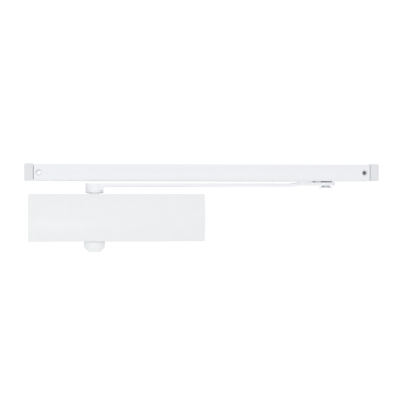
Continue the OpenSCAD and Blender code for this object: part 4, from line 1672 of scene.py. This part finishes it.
    def casting(self) -> bpy.types.Object:
        """The machined casting."""
        cover = Cover()
        room = cover.crown_radius - cover.wall - self.crown_gap
        middle = Vector((0.0, cover.box.low.y + cover.crown_radius, 0.0))
        crown = turned("crown_room", solid_of([(room, -1.0, 0.0), (room, 1.0, 0.0)]), middle, Axis.X, 192)
        body = combined(self.rough_casting(), [crown], Cut.WITHIN)
        outward(combined(body, self.machining(), Cut.AWAY))
        smooth_mesh(body.data, 38.0)
        return body

    def spindle_cap(self) -> bpy.types.Object:
        """The turned-looking cap under the cover, with a rim, a slope and a flat tip."""
        box = Extent.of("spindle_cap")
        rim = box.size.x / 2
        neck = 11.0 * MM
        neck_bore = 9.3 * MM
        wall = 2.0 * MM
        shoulder = -(Extent.of("cover").high.z + 0.2 * MM)
        side_end = shoulder - 7.9 * MM
        tip = 7.3 * MM
        low = box.low.z
        section = rounded(
            [
                (neck_bore, box.high.z, 0.0),
                (neck, box.high.z, 0.2 * MM),
                (neck, shoulder, 0.3 * MM),
                (rim, shoulder, 0.5 * MM),
                (rim, side_end, 0.7 * MM),
                (tip, low, 0.9 * MM),
                (1.2 * MM, low, 0.1 * MM),
                (0.9 * MM, low + 0.3 * MM, 0.1 * MM),
                (0.0, low + 0.3 * MM, 0.0),
                (0.0, low + wall, 0.0),
                (tip - MM, low + wall, 0.3 * MM),
                (rim - wall, side_end + MM, 0.4 * MM),
                (rim - wall, shoulder - wall, 0.3 * MM),
                (neck_bore, shoulder - wall, 0.2 * MM),
            ]
        )
        return turned("spindle_cap_body", section, Vector((self.axis.x, self.axis.y, 0.0)))

    def clip(self, x: float) -> bpy.types.Object:
        """One bent clip of spring steel, with its legs turned in at the tips."""
        box = Extent.of("cover_clips")
        thick = 1.2 * MM
        wide = 12.0 * MM
        base = -self.ear_thick
        leg = box.high.z
        tip = box.low.y
        bend = 2.2 * MM
        turn_in = 1.3 * MM
        outer = [
            (tip, -leg + turn_in, 0.4 * MM),
            (tip + 5 * MM, -leg, 3 * MM),
            (base, -leg, bend),
            (base, leg, bend),
            (tip + 5 * MM, leg, 3 * MM),
            (tip, leg - turn_in, 0.4 * MM),
            (tip, leg - turn_in - thick, 0.4 * MM),
            (tip + 5 * MM, leg - thick, 3 * MM),
            (base - thick, leg - thick, bend - thick),
            (base - thick, -leg + thick, bend - thick),
            (tip + 5 * MM, -leg + thick, 3 * MM),
            (tip, -leg + turn_in + thick, 0.4 * MM),
        ]
        strip = prism("clip", rounded(outer), Axis.X, x - wide / 2, x + wide / 2, 0.2 * MM, 2)
        tools = []
        for z in (-self.hole_rise, self.hole_rise):
            ring = arc((x, z), self.hole, 0, TURN * 31 / 32, 31)
            tools.append(prism("hole", ring, Axis.Y, base - 3 * MM, base + MM))
        slot = rounded(
            [(x - 2 * MM, -20 * MM, 2 * MM), (x + 2 * MM, -20 * MM, 2 * MM),
             (x + 2 * MM, -26 * MM, 2 * MM), (x - 2 * MM, -26 * MM, 2 * MM)]
        )
        tools.append(prism("leg_slot", slot, Axis.Z, -far_of(leg), far_of(leg)))
        combined(strip, tools, Cut.AWAY)
        return eased(strip, 0.1 * MM, 60.0)

    def clip_screws(self, row: bpy.types.NodeTree, finish: bpy.types.Material) -> bpy.types.Object:
        """The two pan-head screws that hold the clips, as copies of one."""
        box = Extent.of("clip_screws")
        head = box.size.z / 2
        seat = -self.ear_thick - 1.2 * MM
        first = self.holes[0]
        screw = turned(
            "clip_screw_pair",
            rounded(
                [
                    (0.0, box.high.y, 0.0),
                    (1.2 * MM, box.high.y, 0.0),
                    (1.48 * MM, box.high.y - 0.4 * MM, 0.0),
                    (1.48 * MM, seat, 0.0),
                    (head, seat, 0.25 * MM),
                    (head, box.low.y, 1.1 * MM),
                    (0.0, box.low.y, 0.0),
                ]
            ),
            Vector((first, 0.0, 0.0)),
            Axis.Y,
            48,
        )
        cuts = []
        for long_x, long_z in ((1.9 * MM, 0.32 * MM), (0.32 * MM, 1.9 * MM)):
            corners = [
                (first - long_x, -long_z, 0.1 * MM), (first + long_x, -long_z, 0.1 * MM),
                (first + long_x, long_z, 0.1 * MM), (first - long_x, long_z, 0.1 * MM),
            ]
            cuts.append(prism("cross", rounded(corners), Axis.Y, box.low.y - MM, box.low.y + 1.1 * MM))
        combined(screw, cuts, Cut.AWAY)
        step = self.holes[1] - first
        return grown(screw, row, count=2, step=(step, 0.0, 0.0), material=finish)

    def spring(
        self, coil: bpy.types.NodeTree, finish: bpy.types.Material, name: str, side: int
    ) -> bpy.types.Object:
        """One part of the main spring, which is wound between the piston and its seat.

        Args:
            coil: The tree that winds the coil.
            finish: Material of the wire.
            name: Name of the part.
            side: -1 for the part at the piston, 1 for the part at the seat.

        Returns:
            The part, cut off square where the other part goes on.
        """
        box = Extent.of("main_spring")
        wire = 2.1 * MM
        piece = prism(name, [(0, 0), (MM, 0), (0, MM)], Axis.Z, 0.0, MM)
        grown(
            piece,
            coil,
            radius=box.size.z / 2 - wire,
            wire_radius=wire,
            height=box.size.x - 2 * wire,
            turns=(box.size.x - 2 * wire) / (7.9 * MM),
            material=finish,
        )
        along = Matrix.Translation((box.low.x + wire, self.axis.y, 0.0)) @ Matrix.Rotation(
            QUARTER, 4, "Y"
        )
        piece.data.transform(along)
        shape = bmesh.new()
        shape.from_mesh(piece.data)
        bmesh.ops.remove_doubles(shape, verts=shape.verts, dist=1e-6)
        cut = bmesh.ops.bisect_plane(
            shape,
            geom=[*shape.verts, *shape.edges, *shape.faces],
            plane_co=(box.high.x - self.seat_part, 0.0, 0.0),
            plane_no=(side, 0.0, 0.0),
            clear_inner=True,
        )
        rim = [e for e in cut["geom_cut"] if isinstance(e, bmesh.types.BMEdge)]
        bmesh.ops.edgeloop_fill(shape, edges=rim)
        bmesh.ops.recalc_face_normals(shape, faces=shape.faces)
        shape.to_mesh(piece.data)
        shape.free()
        smooth_mesh(piece.data)
        return piece

    def build(self, wardrobe: Wardrobe, row: bpy.types.NodeTree, coil: bpy.types.NodeTree) -> None:
        """Builds the body's pieces and hands them over."""
        root = "closer_body"
        wardrobe.hand_over(self.casting(), root, "cast_body", "housing")
        wardrobe.hand_over(self.spindle_cap(), root, "cap_plastic", "spindle_cap")
        clips = joined("cover_clip_pair", [self.clip(x) for x in self.holes])
        wardrobe.hand_over(clips, root, "clip_steel", "cover_clips")
        screws = self.clip_screws(row, wardrobe.materials["screw_steel"])
        wardrobe.hand_over(screws, root, "screw_steel", "clip_screws")
        box = Extent.of("main_spring")
        parts = (
            ("main_spring_coil", -1, "piston_slide", 24.6 * MM, box.size.x - self.seat_part),
            ("main_spring_end", 1, "spring_seat_slide", 5.0 * MM, self.seat_part),
        )
        for name, side, joint, travel, length in parts:
            part = self.spring(coil, wardrobe.materials["spring_steel"], name, side)
            wardrobe.hand_over(part, root, "spring_steel", "main_spring")
            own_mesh(part)


def far_of(distance: float) -> float:
    """A distance well past a given one, for a cut that goes right through."""
    return distance + 5 * MM


# --------------------------------------------------------------------------------------
# Studio


@dataclass(frozen=True)
class Studio:
    """A plain pale floor, soft light from large lamps, and the camera.

    Attributes:
        aim: Point that the camera looks at.
        distance: Distance from that point to the camera.
        azimuth: Angle of the camera round the object, in degrees.
        lens: Focal length, in millimetres.
        floor: Height of the floor.
    """

    aim: tuple[float, float, float] = (0.1393, 0.0, 0.0229)
    distance: float = 1.8
    azimuth: float = -6.08
    lens: float = 123.0
    floor: float = -0.55

    def camera(self) -> None:
        """Makes the scene's camera."""
        data = bpy.data.cameras.new("camera")
        data.lens = self.lens
        data.sensor_width = 36.0
        camera = bpy.data.objects.new("camera", data)
        bpy.context.scene.collection.objects.link(camera)
        turn = math.radians(self.azimuth)
        back = Vector((math.sin(turn), -math.cos(turn), 0.0))
        camera.location = Vector(self.aim) + back * self.distance
        camera.rotation_mode = "QUATERNION"
        camera.rotation_quaternion = (-back).to_track_quat("-Z", "Y")
        bpy.context.scene.camera = camera

    def floor_plane(self) -> None:
        """Makes the floor, a large pale sheet below the object."""
        shape = bmesh.new()
        reach = 1.4
        corners = [(-reach, -reach), (reach, -reach), (reach, reach), (-reach, reach)]
        shape.faces.new([shape.verts.new((x + self.aim[0], y, self.floor)) for x, y in corners])
        floor = mesh_object("floor", shape)
        material = bpy.data.materials.new("floor_paper")
        material.use_nodes = True
        shader = material.node_tree.nodes["Principled BSDF"]
        shader.inputs["Base Color"].default_value = (0.93, 0.93, 0.93, 1.0)
        shader.inputs["Roughness"].default_value = 0.9
        floor.data.materials.append(material)

    def lamp(
        self, name: str, place: tuple[float, float, float], size: float, power: float
    ) -> None:
        """Makes one square soft lamp that looks at the object."""
        data = bpy.data.lights.new(name, "AREA")
        data.shape = "SQUARE"
        data.size = size
        data.energy = power
        lamp = bpy.data.objects.new(name, data)
        bpy.context.scene.collection.objects.link(lamp)
        lamp.location = Vector(self.aim) + Vector(place)
        lamp.rotation_mode = "QUATERNION"
        lamp.rotation_quaternion = (-Vector(place)).to_track_quat("-Z", "Y")

    def surroundings(self) -> None:
        """White surroundings, seen pure white and lighting the object a little less."""
        world = bpy.data.worlds.new("studio")
        world.use_nodes = True
        nodes, links = world.node_tree.nodes, world.node_tree.links
        light = nodes["Background"]
        light.inputs["Color"].default_value = (1.0, 1.0, 1.0, 1.0)
        light.inputs["Strength"].default_value = 0.95
        seen = nodes.new("ShaderNodeBackground")
        seen.inputs["Color"].default_value = (1.0, 1.0, 1.0, 1.0)
        seen.inputs["Strength"].default_value = 1.05
        rays = nodes.new("ShaderNodeLightPath")
        mix = nodes.new("ShaderNodeMixShader")
        links.new(rays.outputs["Is Camera Ray"], mix.inputs["Fac"])
        links.new(light.outputs["Background"], mix.inputs[1])
        links.new(seen.outputs["Background"], mix.inputs[2])
        links.new(mix.outputs["Shader"], nodes["World Output"].inputs["Surface"])
        bpy.context.scene.world = world

    def build(self) -> None:
        """Makes the whole studio."""
        self.camera()
        self.floor_plane()
        self.surroundings()
        self.lamp("key", (-0.5, -0.95, -0.5), 0.6, 1.4)
        self.lamp("fill", (0.9, -1.4, 0.2), 1.2, 0.3)
        self.lamp("top", (0.0, -0.2, 1.6), 1.4, 0.7)
        settings = bpy.context.scene.view_settings
        settings.view_transform = "Standard"
        settings.look = "None"


def main() -> None:
    """Builds the studio, then each sub-assembly in order, and reports every piece."""
    logging.basicConfig(level=logging.INFO, format="%(name)s: %(message)s")
    Studio().build()
    wardrobe = Wardrobe(FINISHES)
    row = row_tree()
    Cover().build(wardrobe, row)
    Rail().build(wardrobe, extrusion_tree())
    Arm().build(wardrobe)
    Shoe().build(wardrobe, row)
    Body().build(wardrobe, row, coil_tree())
    wardrobe.dress_cad_nodes()


if __name__ == "__main__":
    main()
